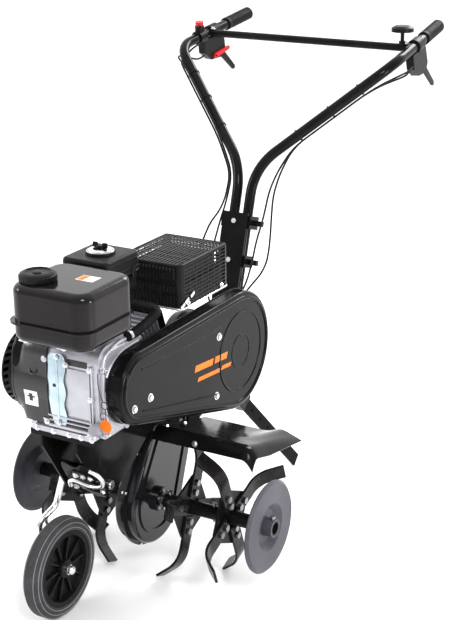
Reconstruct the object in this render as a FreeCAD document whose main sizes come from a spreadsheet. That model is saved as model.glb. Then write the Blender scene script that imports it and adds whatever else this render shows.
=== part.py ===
import FreeCAD, Part
import math
import os
import Sketcher
from FreeCAD import Placement, Rotation, Vector

# Petrol tiller. Millimetres, +X to the machine's left, +Y to its rear, +Z up.
# Every piece is drawn with y counted from the tine axle and z from the ground; `deliver` then
# moves it back by `axle_offset`, so the origin lies on the ground under the middle of the machine.

DIMENSIONS = {
    # tine axle and chain case
    "axle_offset": -305, "axle_height": 178.5, "shaft_radius": 12.5, "shaft_half": 172,
    "gap": 0.05, "case_half": 28, "case_wall": 2.5, "case_low_radius": 113, "case_top_radius": 70,
    "case_flange": 9, "input_y": 178, "input_z": 530, "bearing_radius": 26,
    "counter_y": 89, "counter_z": 352, "counter_radius": 10,
    # tine hubs, blades and side discs
    "hub_radius": 17.5, "hub_start": 48, "hub_joint": 200, "hub_end": 351, "extension_bore": 14,
    "inner_plate_x": 116, "outer_plate_x": 228, "tine_plate": 6, "plate_reach": 56,
    "plate_corner": 24, "blade_width": 38, "blade_thick": 6, "blade_root": 24, "blade_straight": 104,
    "bend_radius": 70, "bend_angle": 50, "tip_length": 36, "bolt_low": 36, "bolt_high": 60,
    "disc_x": 336, "disc_radius": 113,
    # belt drive
    "crank_y": -255, "crank_z": 590, "pulley_x": 129, "pulley_width": 20, "driven_radius": 100,
    "drive_radius": 30, "belt_width": 12, "belt_half": 4.5, "cover_x": 124, "cover_depth": 36,
    "cover_wall": 2.5, "cover_rear_radius": 147, "cover_front_radius": 84, "backplate_thick": 2.5,
    # engine
    "engine_left": 95, "engine_right": -80, "block_front": -345, "block_rear": -172,
    "block_bottom": 484, "block_top": 696, "cover_thick": 22, "cylinder_tilt": 20,
    "tank_left": 142, "tank_right": -60, "tank_front": -428, "tank_rear": -236,
    "tank_bottom": 716, "tank_top": 844, "tank_seam": 761, "tank_corner": 38,
    "cap_radius": 41, "guard_left": 146, "guard_right": -30, "guard_front": -66, "guard_rear": 150,
    "guard_bottom": 704, "guard_top": 812,
    # frame, front wheel and drag stake
    "rail_x": 36, "rail_thick": 5, "wheel_radius": 120, "wheel_x": -50, "wheel_y": -308,
    "tyre_half": 22, "axle_rod": 7.5, "pivot_y": -238, "pivot_z": 324, "stake_width": 34,
    "stake_thick": 8, "stake_angle": 44.2, "stake_x": 60.5,
    # mudguards
    "guard_inner": 45, "guard_outer": 325, "sheet": 2,
    # handlebars
    "tube_radius": 13.5, "tube_wall": 2, "column_x": 20, "foot_y": 372, "foot_z": 470,
    "fork_y": 504, "fork_z": 899, "bend_x": 317.5, "bend_y": 698.5, "bend_z": 1158.5,
    "grip_x": 296, "grip_y": 1040, "grip_z": 1209, "grip_length": 118, "grip_radius": 18,
    "crossbar_radius": 10, "crossbar_y": 835, "crossbar_z": 1178.7, "cable_radius": 2.5,
}

document = FreeCAD.newDocument("Tiller")
sheet = document.addObject("Spreadsheet::Sheet", "Sizes")
for row, (alias, number) in enumerate(DIMENSIONS.items(), start=1):
    sheet.set(f"A{row}", alias)
    sheet.set(f"B{row}", str(number))
    sheet.setAlias(f"B{row}", alias)
document.recompute()
nodes = []


class Size:
    """A number that remembers the spreadsheet expression it comes from."""

    def __init__(self, value, text):
        self.value = float(value)
        self.text = text

    def __add__(self, other):
        other = sized(other)
        return Size(self.value + other.value, f"({self.text} + {other.text})")

    def __sub__(self, other):
        other = sized(other)
        return Size(self.value - other.value, f"({self.text} - {other.text})")

    def __mul__(self, factor):
        factor = sized(factor)
        return Size(self.value * factor.value, f"({self.text} * {factor.text})")

    def __truediv__(self, factor):
        factor = sized(factor)
        return Size(self.value / factor.value, f"({self.text} / {factor.text})")

    def __radd__(self, other):
        return sized(other) + self

    def __rsub__(self, other):
        return sized(other) - self

    def __neg__(self):
        return Size(-self.value, f"(-1 * {self.text})")

    __rmul__ = __mul__


class Sheet:
    """Reads a driving dimension by its name."""

    def __getattr__(self, alias):
        return Size(DIMENSIONS[alias], f"Sizes.{alias}")


def sized(item):
    return item if isinstance(item, Size) else Size(item, repr(float(item)))


def number(item):
    return sized(item).value


def bind(item, setting, size):
    """Tie one property of a document object to the sheet."""
    item.setExpression(setting, sized(size).text)


D = Sheet()


# ---------------------------------------------------------------- sketches and features

def new_body(label):
    body = document.addObject("PartDesign::Body", label)
    body.Label = label
    return body


def new_sketch(body, plane="YZ_Plane", offset=0):
    """A sketch on one of the body's own origin planes, moved along the plane's normal."""
    sketch = body.newObject("Sketcher::SketchObject", f"{body.Label}_sketch")
    planes = [feature for feature in body.Origin.OriginFeatures if feature.Role == plane]
    sketch.AttachmentSupport = [(planes[0], "")]
    sketch.MapMode = "FlatFace"
    bind(sketch, "AttachmentOffset.Base.z", offset)
    return sketch


def constrain(sketch, kind, *arguments):
    """Add a dimension whose value is the last argument and tie it to the sheet."""
    size = sized(arguments[-1])
    index = sketch.addConstraint(Sketcher.Constraint(kind, *arguments[:-1], size.value))
    if "Sizes." in size.text:
        sketch.setExpression(f"Constraints[{index}]", size.text)


def lock_point(sketch, item, end, across, up):
    constrain(sketch, "DistanceX", -1, 1, item, end, across)
    constrain(sketch, "DistanceY", -1, 1, item, end, up)


def draw_circle(sketch, across, up, radius):
    centre = Vector(number(across), number(up), 0)
    item = sketch.addGeometry(Part.Circle(centre, Vector(0, 0, 1), number(radius)), False)
    lock_point(sketch, item, 3, across, up)
    constrain(sketch, "Radius", item, radius)


def draw_polygon(sketch, points):
    first = sketch.GeometryCount
    corners = [Vector(number(across), number(up), 0) for across, up in points]
    count = len(corners)
    for index, corner in enumerate(corners):
        sketch.addGeometry(Part.LineSegment(corner, corners[(index + 1) % count]), False)
    for index, (across, up) in enumerate(points):
        following = first + (index + 1) % count
        sketch.addConstraint(Sketcher.Constraint("Coincident", first + index, 2, following, 1))
        lock_point(sketch, first + index, 1, across, up)


def draw_hull(sketch, circles):
    """The band round several circles, given anticlockwise: arcs joined by tangent lines."""
    first = sketch.GeometryCount
    centres = [Vector(number(across), number(up), 0) for across, up, _ in circles]
    radii = [number(radius) for _, _, radius in circles]
    count = len(circles)
    normals = []
    for index in range(count):
        step = centres[(index + 1) % count] - centres[index]
        lean = math.acos((radii[index] - radii[(index + 1) % count]) / step.Length)
        normals.append(math.atan2(step.y, step.x) - lean)
    for index in range(count):
        after = (index + 1) % count
        outward = Vector(math.cos(normals[index]), math.sin(normals[index]), 0)
        start = centres[index] + outward * radii[index]
        end = centres[after] + outward * radii[after]
        circle = Part.Circle(centres[index], Vector(0, 0, 1), radii[index])
        turn_end = normals[index]
        while turn_end < normals[index - 1]:
            turn_end += 2 * math.pi
        sketch.addGeometry(Part.ArcOfCircle(circle, normals[index - 1], turn_end), False)
        sketch.addGeometry(Part.LineSegment(start, end), False)
    for index, (across, up, radius) in enumerate(circles):
        arc = first + 2 * index
        next_arc = first + 2 * ((index + 1) % count)
        sketch.addConstraint(Sketcher.Constraint("Tangent", arc, 2, arc + 1, 1))
        sketch.addConstraint(Sketcher.Constraint("Tangent", arc + 1, 2, next_arc, 1))
        lock_point(sketch, arc, 3, across, up)
        constrain(sketch, "Radius", arc, radius)


def draw_rounded(sketch, low, high, radius):
    """A rectangle with rounded corners, from its low corner to its high corner."""
    left, right = low[0] + radius, high[0] - radius
    bottom, top = low[1] + radius, high[1] - radius
    draw_hull(sketch, [(left, bottom, radius), (right, bottom, radius),
                       (right, top, radius), (left, top, radius)])


def add_pad(body, sketch, length, backwards=False):
    pad = body.newObject("PartDesign::Pad", f"{body.Label}_pad")
    pad.Profile = sketch
    pad.Reversed = backwards
    bind(pad, "Length", length)
    sketch.Visibility = False
    return pad


def add_pocket(body, sketch, depth, backwards=False):
    """Cut a sketch into the body and make sure that it took material away."""
    document.recompute()
    before = body.Shape.Volume
    pocket = body.newObject("PartDesign::Pocket", f"{body.Label}_pocket")
    pocket.Profile = sketch
    pocket.Reversed = backwards
    bind(pocket, "Length", depth)
    document.recompute()
    if body.Shape.Volume > before - 1.0:
        raise RuntimeError(f"{body.Label}: a pocket cuts nothing")
    return pocket


def add_revolution(body, sketch, axis="H_Axis"):
    turned = body.newObject("PartDesign::Revolution", f"{body.Label}_revolution")
    turned.Profile = sketch
    turned.ReferenceAxis = (sketch, [axis])
    turned.Angle = 360
    return turned


def add_rounding(body, radius, wanted):
    """Fillet the edges for which `wanted(edge)` is true."""
    document.recompute()
    base = body.Tip
    names = [f"Edge{index}" for index, edge in enumerate(base.Shape.Edges, start=1) if wanted(edge)]
    if not names:
        raise RuntimeError(f"{body.Label}: no edge to round")
    fillet = body.newObject("PartDesign::Fillet", f"{body.Label}_fillet")
    fillet.Base = (base, names)
    bind(fillet, "Radius", radius)
    return fillet


def flat_at(axis, level):
    """True for an edge that lies wholly at one level of an axis (0, 1 or 2)."""
    def wanted(edge):
        box = edge.BoundBox
        low, high = (box.XMin, box.YMin, box.ZMin)[axis], (box.XMax, box.YMax, box.ZMax)[axis]
        return abs(low - number(level)) < 0.01 and abs(high - number(level)) < 0.01
    return wanted


# ---------------------------------------------------------------- primitives

def make_box(name, low, high):
    block = document.addObject("Part::Box", name)
    for side, axis, start, end in zip(("Length", "Width", "Height"), "xyz", low, high):
        bind(block, side, sized(end) - start)
        bind(block, f"Placement.Base.{axis}", start)
    return block


def make_cylinder(name, centre, radius, length, direction=Vector(1, 0, 0)):
    """A cylinder that starts at `centre` and runs along `direction`."""
    rod = document.addObject("Part::Cylinder", name)
    rod.Placement = Placement(Vector(), Rotation(Vector(0, 0, 1), direction))
    bind(rod, "Radius", radius)
    bind(rod, "Height", length)
    for axis, place in zip("xyz", centre):
        bind(rod, f"Placement.Base.{axis}", place)
    return rod


def join(label, parts):
    union = document.addObject("Part::MultiFuse", label)
    union.Shapes = parts
    return union


def cut_away(label, base, tools):
    difference = document.addObject("Part::Cut", label)
    difference.Base = base
    difference.Tool = tools[0] if len(tools) == 1 else join(f"{label}_tools", tools)
    return difference


def feature(label, shape):
    """A document object round a shape made with Part's own functions."""
    item = document.addObject("Part::Feature", label)
    item.Shape = Part.makeCompound([shape])
    return item


def group(label, shapes):
    return feature(label, Part.makeCompound(shapes))


def place(item, across=0, back=0, up=0, turn=None):
    """Move an item, and turn it first if a rotation is given."""
    if turn:
        item.Placement = Placement(Vector(), turn)
    bind(item, "Placement.Base.x", across)
    bind(item, "Placement.Base.y", back)
    bind(item, "Placement.Base.z", up)
    return item


def bundle(label, items):
    """Several separate solids that make up one sub-part."""
    compound = document.addObject("Part::Compound", label)
    compound.Links = items
    return compound


def deliver(item, label, across=0, back=0, up=0, turn=None):
    """Name a sub-part and put it in its place; y is counted from the tine axle."""
    place(item, across, D.axle_offset + back, up, turn)
    item.Label = label
    nodes.append(item)
    return item


# ---------------------------------------------------------------- shapes made in code

def vector(across, back, up):
    return Vector(number(across), number(back), number(up))


def along_x(radius, start, end, back=0.0, up=0.0):
    return Part.makeCylinder(radius, end - start, Vector(start, back, up), Vector(1, 0, 0))


def even_bends(points, share=0.45):
    """The largest bend at each corner that its two runs leave room for."""
    bends = []
    for before, corner, after in zip(points, points[1:], points[2:]):
        turn = (corner - before).getAngle(after - corner)
        run = min((corner - before).Length, (after - corner).Length)
        bends.append(share * run / math.tan(turn / 2))
    return bends


def tube_shape(points, radius, bends, wall=None):
    """A round bar or tube along straight runs joined by tangent arcs."""
    edges = []
    start = points[0]
    length = 0.0
    for index in range(1, len(points) - 1):
        corner = points[index]
        inward = (corner - points[index - 1]).normalize()
        outward = (points[index + 1] - corner).normalize()
        turn = inward.getAngle(outward)
        setback = bends[index - 1] * math.tan(turn / 2)
        enter, leave = corner - inward * setback, corner + outward * setback
        middle_way = (outward - inward).normalize()
        middle = corner + middle_way * (bends[index - 1] / math.cos(turn / 2) - bends[index - 1])
        edges.append(Part.LineSegment(start, enter).toShape())
        edges.append(Part.Arc(enter, middle, leave).toShape())
        length += (enter - start).Length + bends[index - 1] * turn
        start = leave
    edges.append(Part.LineSegment(start, points[-1]).toShape())
    length += (points[-1] - start).Length
    heading = points[1] - points[0]
    outline = Part.Face(Part.Wire(Part.makeCircle(radius, points[0], heading)))
    area = math.pi * radius ** 2
    if wall:
        outline = outline.cut(Part.Face(Part.Wire(Part.makeCircle(radius - wall, points[0], heading))))
        area -= math.pi * (radius - wall) ** 2
        outline = outline.Faces[0]
    bar = Part.Wire(edges).makePipe(outline)
    bar = bar if bar.ShapeType == "Solid" else bar.Solids[0]
    if abs(bar.Volume - area * length) > 0.01 * area * length:
        raise RuntimeError(f"tube volume {bar.Volume:.0f} is not {area * length:.0f}")
    return bar


def bolt_shape(place, heading, radius, grip, head=0.8, nut=True):
    """A hexagon bolt whose head sits at `place`, its shank running `grip` along `heading`."""
    flats, depth = 1.75 * radius, head * 2 * radius

    def hexagon(start, thickness):
        ring = [Vector(flats * math.cos(math.radians(60 * k)), flats * math.sin(math.radians(60 * k)), 0)
                for k in range(6)]
        prism = Part.Face(Part.makePolygon(ring + ring[:1])).extrude(Vector(0, 0, thickness))
        prism.translate(Vector(0, 0, start))
        return prism

    solid = hexagon(-depth, depth).fuse(Part.makeCylinder(radius, grip + depth, Vector(0, 0, -0.5)))
    if nut:
        solid = solid.fuse(hexagon(grip, depth))
    solid = solid.removeSplitter()
    solid.Placement = Placement(place, Rotation(Vector(0, 0, 1), heading))
    return solid


# ---------------------------------------------------------------- tine rotor

# The angle of each blade, and whether its tip bends inwards (-1) or outwards (+1)
INNER_PHASES = (-112, -22, 68, 158)
OUTER_PHASES = (-70, 20, 110, 200)
INNER_BENDS = {1: (-1, 1, -1, 1), -1: (-1, 1, -1, 1)}
OUTER_BENDS = {1: (-1, 1, -1, 1), -1: (-1, 1, 1, -1)}


def blade_shape(side, plate_x, phase, bend_way):
    """One flat bar: straight out from the hub plate, then bent sideways by a round bend."""
    face_x = side * (plate_x + number(D.tine_plate) / 2 + number(D.blade_thick) / 2 + 0.1)
    straight, radius = number(D.blade_straight), number(D.bend_radius)
    angle = math.radians(number(D.bend_angle))
    half = angle / 2
    root = Vector(face_x, number(D.blade_root), 0)
    knee = Vector(face_x, straight, 0)
    middle = knee + Vector(bend_way * radius * (1 - math.cos(half)), radius * math.sin(half), 0)
    end = knee + Vector(bend_way * radius * (1 - math.cos(angle)), radius * math.sin(angle), 0)
    tip = end + Vector(bend_way * math.sin(angle), math.cos(angle), 0) * number(D.tip_length)
    path = Part.Wire([Part.LineSegment(root, knee).toShape(), Part.Arc(knee, middle, end).toShape(),
                      Part.LineSegment(end, tip).toShape()])
    half_thick, half_wide = number(D.blade_thick) / 2, number(D.blade_width) / 2
    corners = [Vector(face_x + sx * half_thick, root.y, sz * half_wide)
               for sx, sz in ((-1, -1), (1, -1), (1, 1), (-1, 1), (-1, -1))]
    bar = path.makePipe(Part.Face(Part.makePolygon(corners)))
    bar = bar.Solids[0] if bar.Solids else Part.Solid(bar)
    for reach in (number(D.bolt_low), number(D.bolt_high)):
        bar = bar.cut(along_x(5.1, face_x - 5, face_x + 5, reach))
    bar.rotate(Vector(), Vector(1, 0, 0), phase)
    return bar


def tine_plate(label, side, plate_x, phases):
    """The plate welded round a hub, with two bolt holes for each blade."""
    plate = new_body(label)
    low = plate_x - D.tine_plate / 2
    outline = new_sketch(plate, "YZ_Plane", low if side > 0 else -low)
    corners = [(math.cos(math.radians(a)), math.sin(math.radians(a))) for a in phases]
    draw_hull(outline, [(D.plate_reach * c, D.plate_reach * s, D.plate_corner) for c, s in corners])
    draw_circle(outline, 0, 0, D.hub_radius)
    for c, s in corners:
        for reach in (D.bolt_low, D.bolt_high):
            draw_circle(outline, reach * c, reach * s, 5.1)
    add_pad(plate, outline, D.tine_plate, backwards=side < 0)
    return plate


def build_tine_side(side, name):
    """The two hubs, eight blades and disc of one side of the rotor (side +1 is left)."""
    hubs, blades = [], []
    for place, plate_x, start, end, phases, bends in (
            ("inner", D.inner_plate_x, D.hub_start, D.hub_joint, INNER_PHASES, INNER_BENDS),
            ("outer", D.outer_plate_x, D.hub_joint + 1, D.hub_end, OUTER_PHASES, OUTER_BENDS)):
        hub = new_body(f"hub_{place}_{name}")
        profile = new_sketch(hub, "XZ_Plane")
        bore = D.shaft_radius + D.gap if place == "inner" else D.extension_bore
        points = [(start, bore), (end, bore), (end, D.hub_radius), (start, D.hub_radius)]
        if place == "outer":
            spigot, root = D.hub_joint - 27, D.hub_joint + 14
            points = [(spigot, 0), (root, 0), (root, bore), (end, bore), (end, D.hub_radius),
                      (start, D.hub_radius), (start, D.shaft_radius), (spigot, D.shaft_radius)]
        draw_polygon(profile, [(side * x, r) for x, r in points][::side])
        add_revolution(hub, profile)
        hubs.append(tine_plate(f"tine_plate_{place}_{name}", side, plate_x, phases))
        holes = new_sketch(hub, "XY_Plane", -30)
        for pin in PIN_PLACES if place == "inner" else PIN_PLACES[1:]:
            draw_circle(holes, side * pin, 0, 4.1)
        add_pocket(hub, holes, 60, backwards=True)
        if place == "outer":
            add_pin_hole(hub, side)
        hubs.append(hub)
        blades += [blade_shape(side, number(plate_x), angle, side * way)
                   for angle, way in zip(phases, bends[side])]

    rim = [(-14, D.hub_radius + 0.1), (15, D.hub_radius + 0.1), (15, 22), (-11, 22), (-11, 43), (3, 58),
           (3, D.disc_radius - 7), (-3, D.disc_radius), (-6, D.disc_radius - 1),
           (0, D.disc_radius - 8), (0, 60), (-14, 45)]
    disc = new_body(f"side_disc_{name}")
    profile = new_sketch(disc, "XZ_Plane")
    draw_polygon(profile, [(side * (D.disc_x + x), r) for x, r in rim][::side])
    add_revolution(disc, profile)
    add_pin_hole(disc, side)
    return hubs, blades, disc


# Pins across the axle, and the short one that holds a side disc on its tube
PIN_PLACES, DISC_PIN = (62, 186), 345


def add_pin_hole(body, side):
    hole = new_sketch(body, "XY_Plane")
    draw_circle(hole, side * DISC_PIN, 0, 4.1)
    add_pocket(body, hole, 30, backwards=True)


def build_rotor():
    hubs, blades, discs = [], [], []
    for side, name in ((1, "left"), (-1, "right")):
        side_hubs, side_blades, disc = build_tine_side(side, name)
        hubs += side_hubs
        blades += side_blades
        discs.append(disc)
    deliver(bundle("tine_hubs", hubs), "tine_hubs", up=D.axle_height)
    deliver(group("tine_blades", blades), "tine_blades", up=D.axle_height)
    deliver(bundle("side_discs", discs), "side_discs", up=D.axle_height)

    shaft = new_body("tine_shaft")
    profile = new_sketch(shaft, "XZ_Plane")
    draw_polygon(profile, [(-D.shaft_half, 0), (D.shaft_half, 0), (D.shaft_half, D.shaft_radius),
                           (-D.shaft_half, D.shaft_radius)])
    add_revolution(shaft, profile)
    holes = new_sketch(shaft, "XY_Plane", -30)
    for side in (1, -1):
        draw_circle(holes, side * PIN_PLACES[0], 0, 4.1)
    add_pocket(shaft, holes, 60, backwards=True)
    deliver(shaft, "tine_shaft", up=D.axle_height)

    solids = []
    for side in (1, -1):
        for place, foot, top in [(pin, -23.0, 23.0) for pin in PIN_PLACES] + [(DISC_PIN, 14.3, 27.0)]:
            pin = Part.makeCylinder(4, top - foot, Vector(side * place, 0, foot))
            solids.append(pin.fuse(Part.makeCylinder(6.5, 4, Vector(side * place, 0, top))))
    grip = number(D.tine_plate) + number(D.blade_thick) + 0.2
    for plate_x, phases in ((D.inner_plate_x, INNER_PHASES), (D.outer_plate_x, OUTER_PHASES)):
        for side in (1, -1):
            start = side * (number(plate_x) - number(D.tine_plate) / 2)
            for phase in phases:
                for reach in (number(D.bolt_low), number(D.bolt_high)):
                    turn = math.radians(phase)
                    place = Vector(start, reach * math.cos(turn), reach * math.sin(turn))
                    solids.append(bolt_shape(place, Vector(side, 0, 0), 4.9, grip, head=0.55))
    deliver(group("tine_fasteners", solids), "tine_fasteners", up=D.axle_height)


# ---------------------------------------------------------------- chain drive

CHAIN_PITCH = 12.7
LOW_TEETH, COUNTER_BIG, COUNTER_SMALL, INPUT_TEETH = 30, 24, 10, 10
FIRST_CHAIN_X, SECOND_CHAIN_X = -12.0, 12.0


def pitch_radius(teeth):
    return CHAIN_PITCH / (2 * math.sin(math.pi / teeth))


def sprocket_shape(teeth, bore, across, back, up):
    """A 3 mm toothed plate with a hub, its rim scooped by a roller at every tooth gap."""
    pitch = pitch_radius(teeth)
    wheel = along_x(pitch + 3.5, across - 1.5, across + 1.5)
    rollers = [along_x(4.3, across - 2, across + 2, pitch * math.cos(2 * math.pi * k / teeth),
                       pitch * math.sin(2 * math.pi * k / teeth)) for k in range(teeth)]
    wheel = wheel.cut(Part.makeCompound(rollers)).fuse(along_x(bore + 4, across - 5, across + 5))
    wheel = wheel.cut(along_x(bore, across - 6, across + 6)).removeSplitter()
    wheel.translate(Vector(0, back, up))
    return wheel


def chain_bands(across, low, high):
    """The two rows of link plates of one chain, as bands beside the sprocket teeth."""
    bands = []
    for place in (across - 3.7, across + 1.8):
        loops = []
        for grow in (4.5, -4.5):
            wheels = [Part.makeCylinder(pitch_radius(teeth) + grow, 1.9, Vector(place, y, z),
                                        Vector(1, 0, 0)) for y, z, teeth in (low, high)]
            step = Vector(0, high[0] - low[0], high[1] - low[1])
            radii = [pitch_radius(low[2]) + grow, pitch_radius(high[2]) + grow]
            lean = math.acos((radii[0] - radii[1]) / step.Length)
            heading = math.atan2(step.z, step.y)
            corners = []
            for sign in (1, -1):
                way = Vector(0, math.cos(heading + sign * lean), math.sin(heading + sign * lean))
                ends = [Vector(place, y, z) + way * r for (y, z, _), r in zip((low, high), radii)]
                corners += ends if sign > 0 else ends[::-1]
            web = Part.Face(Part.makePolygon(corners + corners[:1])).extrude(Vector(1.9, 0, 0))
            loops.append(web.fuse(wheels).removeSplitter())
        bands.append(loops[0].cut(loops[1]))
    return bands


def build_chain_drive():
    axle = (0.0, number(D.axle_height))
    counter = (number(D.counter_y), number(D.counter_z))
    driven = (number(D.input_y), number(D.input_z))
    bore = number(D.shaft_radius) + 0.05
    small_bore = number(D.counter_radius) + 0.05
    low = sprocket_shape(LOW_TEETH, bore, SECOND_CHAIN_X, *axle)
    deliver(feature("tine_sprocket", low), "tine_sprocket")
    counter_parts = [
        feature("counter_small", sprocket_shape(COUNTER_SMALL, small_bore, SECOND_CHAIN_X, *counter)),
        feature("counter_big", sprocket_shape(COUNTER_BIG, small_bore, FIRST_CHAIN_X, *counter)),
        make_cylinder("counter_rod", (-37, D.counter_y, D.counter_z), D.counter_radius, 74)]
    deliver(bundle("counter_shaft", counter_parts), "counter_shaft")
    input_parts = [
        feature("input_sprocket", sprocket_shape(INPUT_TEETH, small_bore, FIRST_CHAIN_X, *driven)),
        make_cylinder("input_rod", (-37, D.input_y, D.input_z), D.counter_radius, 189)]
    deliver(bundle("input_shaft", input_parts), "input_shaft")
    bands = chain_bands(SECOND_CHAIN_X, axle + (LOW_TEETH,), counter + (COUNTER_SMALL,))
    bands += chain_bands(FIRST_CHAIN_X, counter + (COUNTER_BIG,), driven + (INPUT_TEETH,))
    deliver(group("roller_chains", bands), "roller_chains")


def build_chain_case():
    """Two pressed halves with a bolting flange, a raised rib and a boss at each shaft."""
    centres = ((0, D.axle_height, D.case_low_radius), (D.input_y, D.input_z, D.case_top_radius))
    bosses = ((0, D.axle_height, D.bearing_radius + 5), (D.counter_y, D.counter_z, 22),
              (D.input_y, D.input_z, 26))
    for side, name in ((1, "left"), (-1, "right")):
        half = new_body(f"chain_case_{name}")

        def band(offset, grow, inner=None):
            sketch = new_sketch(half, "YZ_Plane", offset if side > 0 else -sized(offset))
            draw_hull(sketch, [(y, z, r + grow) for y, z, r in centres])
            if inner is not None:
                draw_hull(sketch, [(y, z, r + inner) for y, z, r in centres])
            return sketch

        add_pad(half, band(0.05, 0), D.case_half, backwards=side < 0)
        add_rounding(half, 8, flat_at(0, side * (D.case_half + 0.05)))
        add_pad(half, band(0.05, D.case_flange), 3, backwards=side < 0)
        add_pad(half, band(D.case_half - 1, -26, -38), 5, backwards=side < 0)
        boss = new_sketch(half, "YZ_Plane", (D.case_half - 2) * side)
        for y, z, radius in bosses:
            draw_circle(boss, y, z, radius)
        add_pad(half, boss, 14, backwards=side < 0)
        add_pocket(half, band(0, -D.case_wall), D.case_half - D.case_wall, backwards=side > 0)
        add_rounding(half, 5.5, flat_at(0, side * (D.case_half - D.case_wall)))
        bearing = new_sketch(half, "YZ_Plane", (D.case_half - 4) * side)
        draw_circle(bearing, 0, D.axle_height, D.bearing_radius)
        draw_circle(bearing, D.counter_y, D.counter_z, 17)
        draw_circle(bearing, D.input_y, D.input_z, 21)
        add_pocket(half, bearing, 13, backwards=side > 0)
        opening = new_sketch(half, "YZ_Plane", (D.case_half + 5) * side)
        draw_circle(opening, 0, D.axle_height, D.shaft_radius + 3)
        draw_circle(opening, D.input_y, D.input_z, D.counter_radius + 3)
        add_pocket(half, opening, 12, backwards=side > 0)
        deliver(half, f"chain_case_{name}")

    rings = []
    start = number(D.case_half) - 3.9
    for side in (1, -1):
        for y, z, shaft, outer in ((0, D.axle_height, D.shaft_radius, D.bearing_radius),
                                   (D.counter_y, D.counter_z, D.counter_radius, 17),
                                   (D.input_y, D.input_z, D.counter_radius, 21)):
            low = start if side > 0 else -start - 12.6
            ring = along_x(number(outer) - 0.05, low, low + 12.6, number(y), number(z))
            rings.append(ring.cut(along_x(number(shaft) + 0.05, low - 1, low + 14, number(y), number(z))))
    deliver(group("shaft_bearings", rings), "shaft_bearings")

    bolts = []
    axle, top = vector(0, 0, D.axle_height), vector(0, D.input_y, D.input_z)
    step = top - axle
    for share, sign in [(k / 4, sign) for k in range(5) for sign in (1, -1)]:
        reach = number(D.case_low_radius) * (1 - share) + number(D.case_top_radius) * share + 5.8
        across = Vector(0, step.z, -step.y).normalize() * sign * (reach + 0.6)
        bolts.append(bolt_shape(axle + step * share + across + Vector(-3.1, 0, 0), Vector(1, 0, 0),
                                2.0, 6.2, head=0.9))
    for angle in (-115, -75):
        way = Vector(0, math.cos(math.radians(angle)), math.sin(math.radians(angle)))
        place = axle + way * (number(D.case_low_radius) + 6) + Vector(-3.1, 0, 0)
        bolts.append(bolt_shape(place, Vector(1, 0, 0), 2.0, 6.2, head=0.9))
    for name in ("left", "right"):
        half = [item for item in nodes if item.Label == f"chain_case_{name}"][0]
        holes = new_sketch(half, "YZ_Plane", -10)
        for bolt in bolts:
            centre = bolt.BoundBox.Center
            draw_circle(holes, centre.y, centre.z, 2.1)
        add_pocket(half, holes, 20, backwards=True)
    return bolts


# ---------------------------------------------------------------- belt drive

def build_pulleys():
    """The driven pulley with its sunk web, and the plain one on the crankshaft."""
    width, hub, deep = D.pulley_width, D.counter_radius, 15
    rim, floor = D.driven_radius, D.driven_radius - deep
    driven = new_body("driven_pulley")
    profile = new_sketch(driven, "XZ_Plane")
    draw_polygon(profile, [(0, hub + D.gap), (width, hub + D.gap), (width, hub + 8),
                           (width * 0.65, hub + 8), (width * 0.65, floor - 8), (width, floor - 8),
                           (width, rim), (width - 2.4, rim), (width - 3.4, floor), (3.4, floor),
                           (2.4, rim), (0, rim), (0, floor - 8), (width * 0.35, floor - 8),
                           (width * 0.35, hub + 8), (0, hub + 8)])
    add_revolution(driven, profile)
    deliver(driven, "driven_pulley", D.pulley_x, D.input_y, D.input_z)

    small = new_body("engine_pulley")
    profile = new_sketch(small, "XZ_Plane")
    bore, rim = 11 + D.gap, D.drive_radius
    draw_polygon(profile, [(0, bore), (width, bore), (width, rim), (width - 2.4, rim),
                           (width - 3.4, rim - 14), (3.4, rim - 14), (2.4, rim), (0, rim)])
    add_revolution(small, profile)
    deliver(small, "engine_pulley", D.pulley_x, D.crank_y, D.crank_z)


def build_belt_drive():
    build_pulleys()
    belt = new_body("drive_belt")
    loop = new_sketch(belt, "YZ_Plane", D.pulley_x + (D.pulley_width - D.belt_width) / 2)
    for grow in (D.belt_half, -D.belt_half):
        draw_hull(loop, [(D.crank_y, D.crank_z, D.drive_radius - 6 + grow),
                         (D.input_y, D.input_z, D.driven_radius - 6 + grow)])
    add_pad(belt, loop, D.belt_width)
    deliver(belt, "drive_belt")

    outline = [(D.crank_y, D.crank_z, D.cover_front_radius), (D.input_y, D.input_z, D.cover_rear_radius)]
    cover = new_body("belt_cover")
    shell = new_sketch(cover, "YZ_Plane", D.cover_x)
    draw_hull(shell, outline)
    add_pad(cover, shell, D.cover_depth)
    add_rounding(cover, 8, flat_at(0, D.cover_x + D.cover_depth))
    hollow = new_sketch(cover, "YZ_Plane", D.cover_x)
    draw_hull(hollow, [(y, z, r - D.cover_wall) for y, z, r in outline])
    add_pocket(cover, hollow, D.cover_depth - D.cover_wall, backwards=True)
    add_rounding(cover, 5.5, flat_at(0, D.cover_x + D.cover_depth - D.cover_wall))
    deliver(cover, "belt_cover")

    back = new_body("belt_backplate")
    sheet_sketch = new_sketch(back, "YZ_Plane", D.cover_x - D.backplate_thick - 0.5)
    draw_hull(sheet_sketch, outline)
    draw_circle(sheet_sketch, D.crank_y, D.crank_z, 24)
    draw_circle(sheet_sketch, D.input_y, D.input_z, 22)
    draw_circle(sheet_sketch, TENSIONER_Y, TENSIONER_Z, 5.05)
    add_pad(back, sheet_sketch, D.backplate_thick)
    deliver(back, "belt_backplate")

    screws = []
    outer = number(D.cover_x) + number(D.cover_depth)
    for y, z in COVER_SCREWS:
        head = bolt_shape(Vector(outer + 0.05, y, z), Vector(-1, 0, 0), 3.9, 1.0, head=0.6, nut=False)
        screws.append(head)
    cover_holes = new_sketch(cover, "YZ_Plane", outer + 5)
    for y, z in COVER_SCREWS:
        draw_circle(cover_holes, y, z, 4)
    add_pocket(cover, cover_holes, 12)
    return screws


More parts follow.
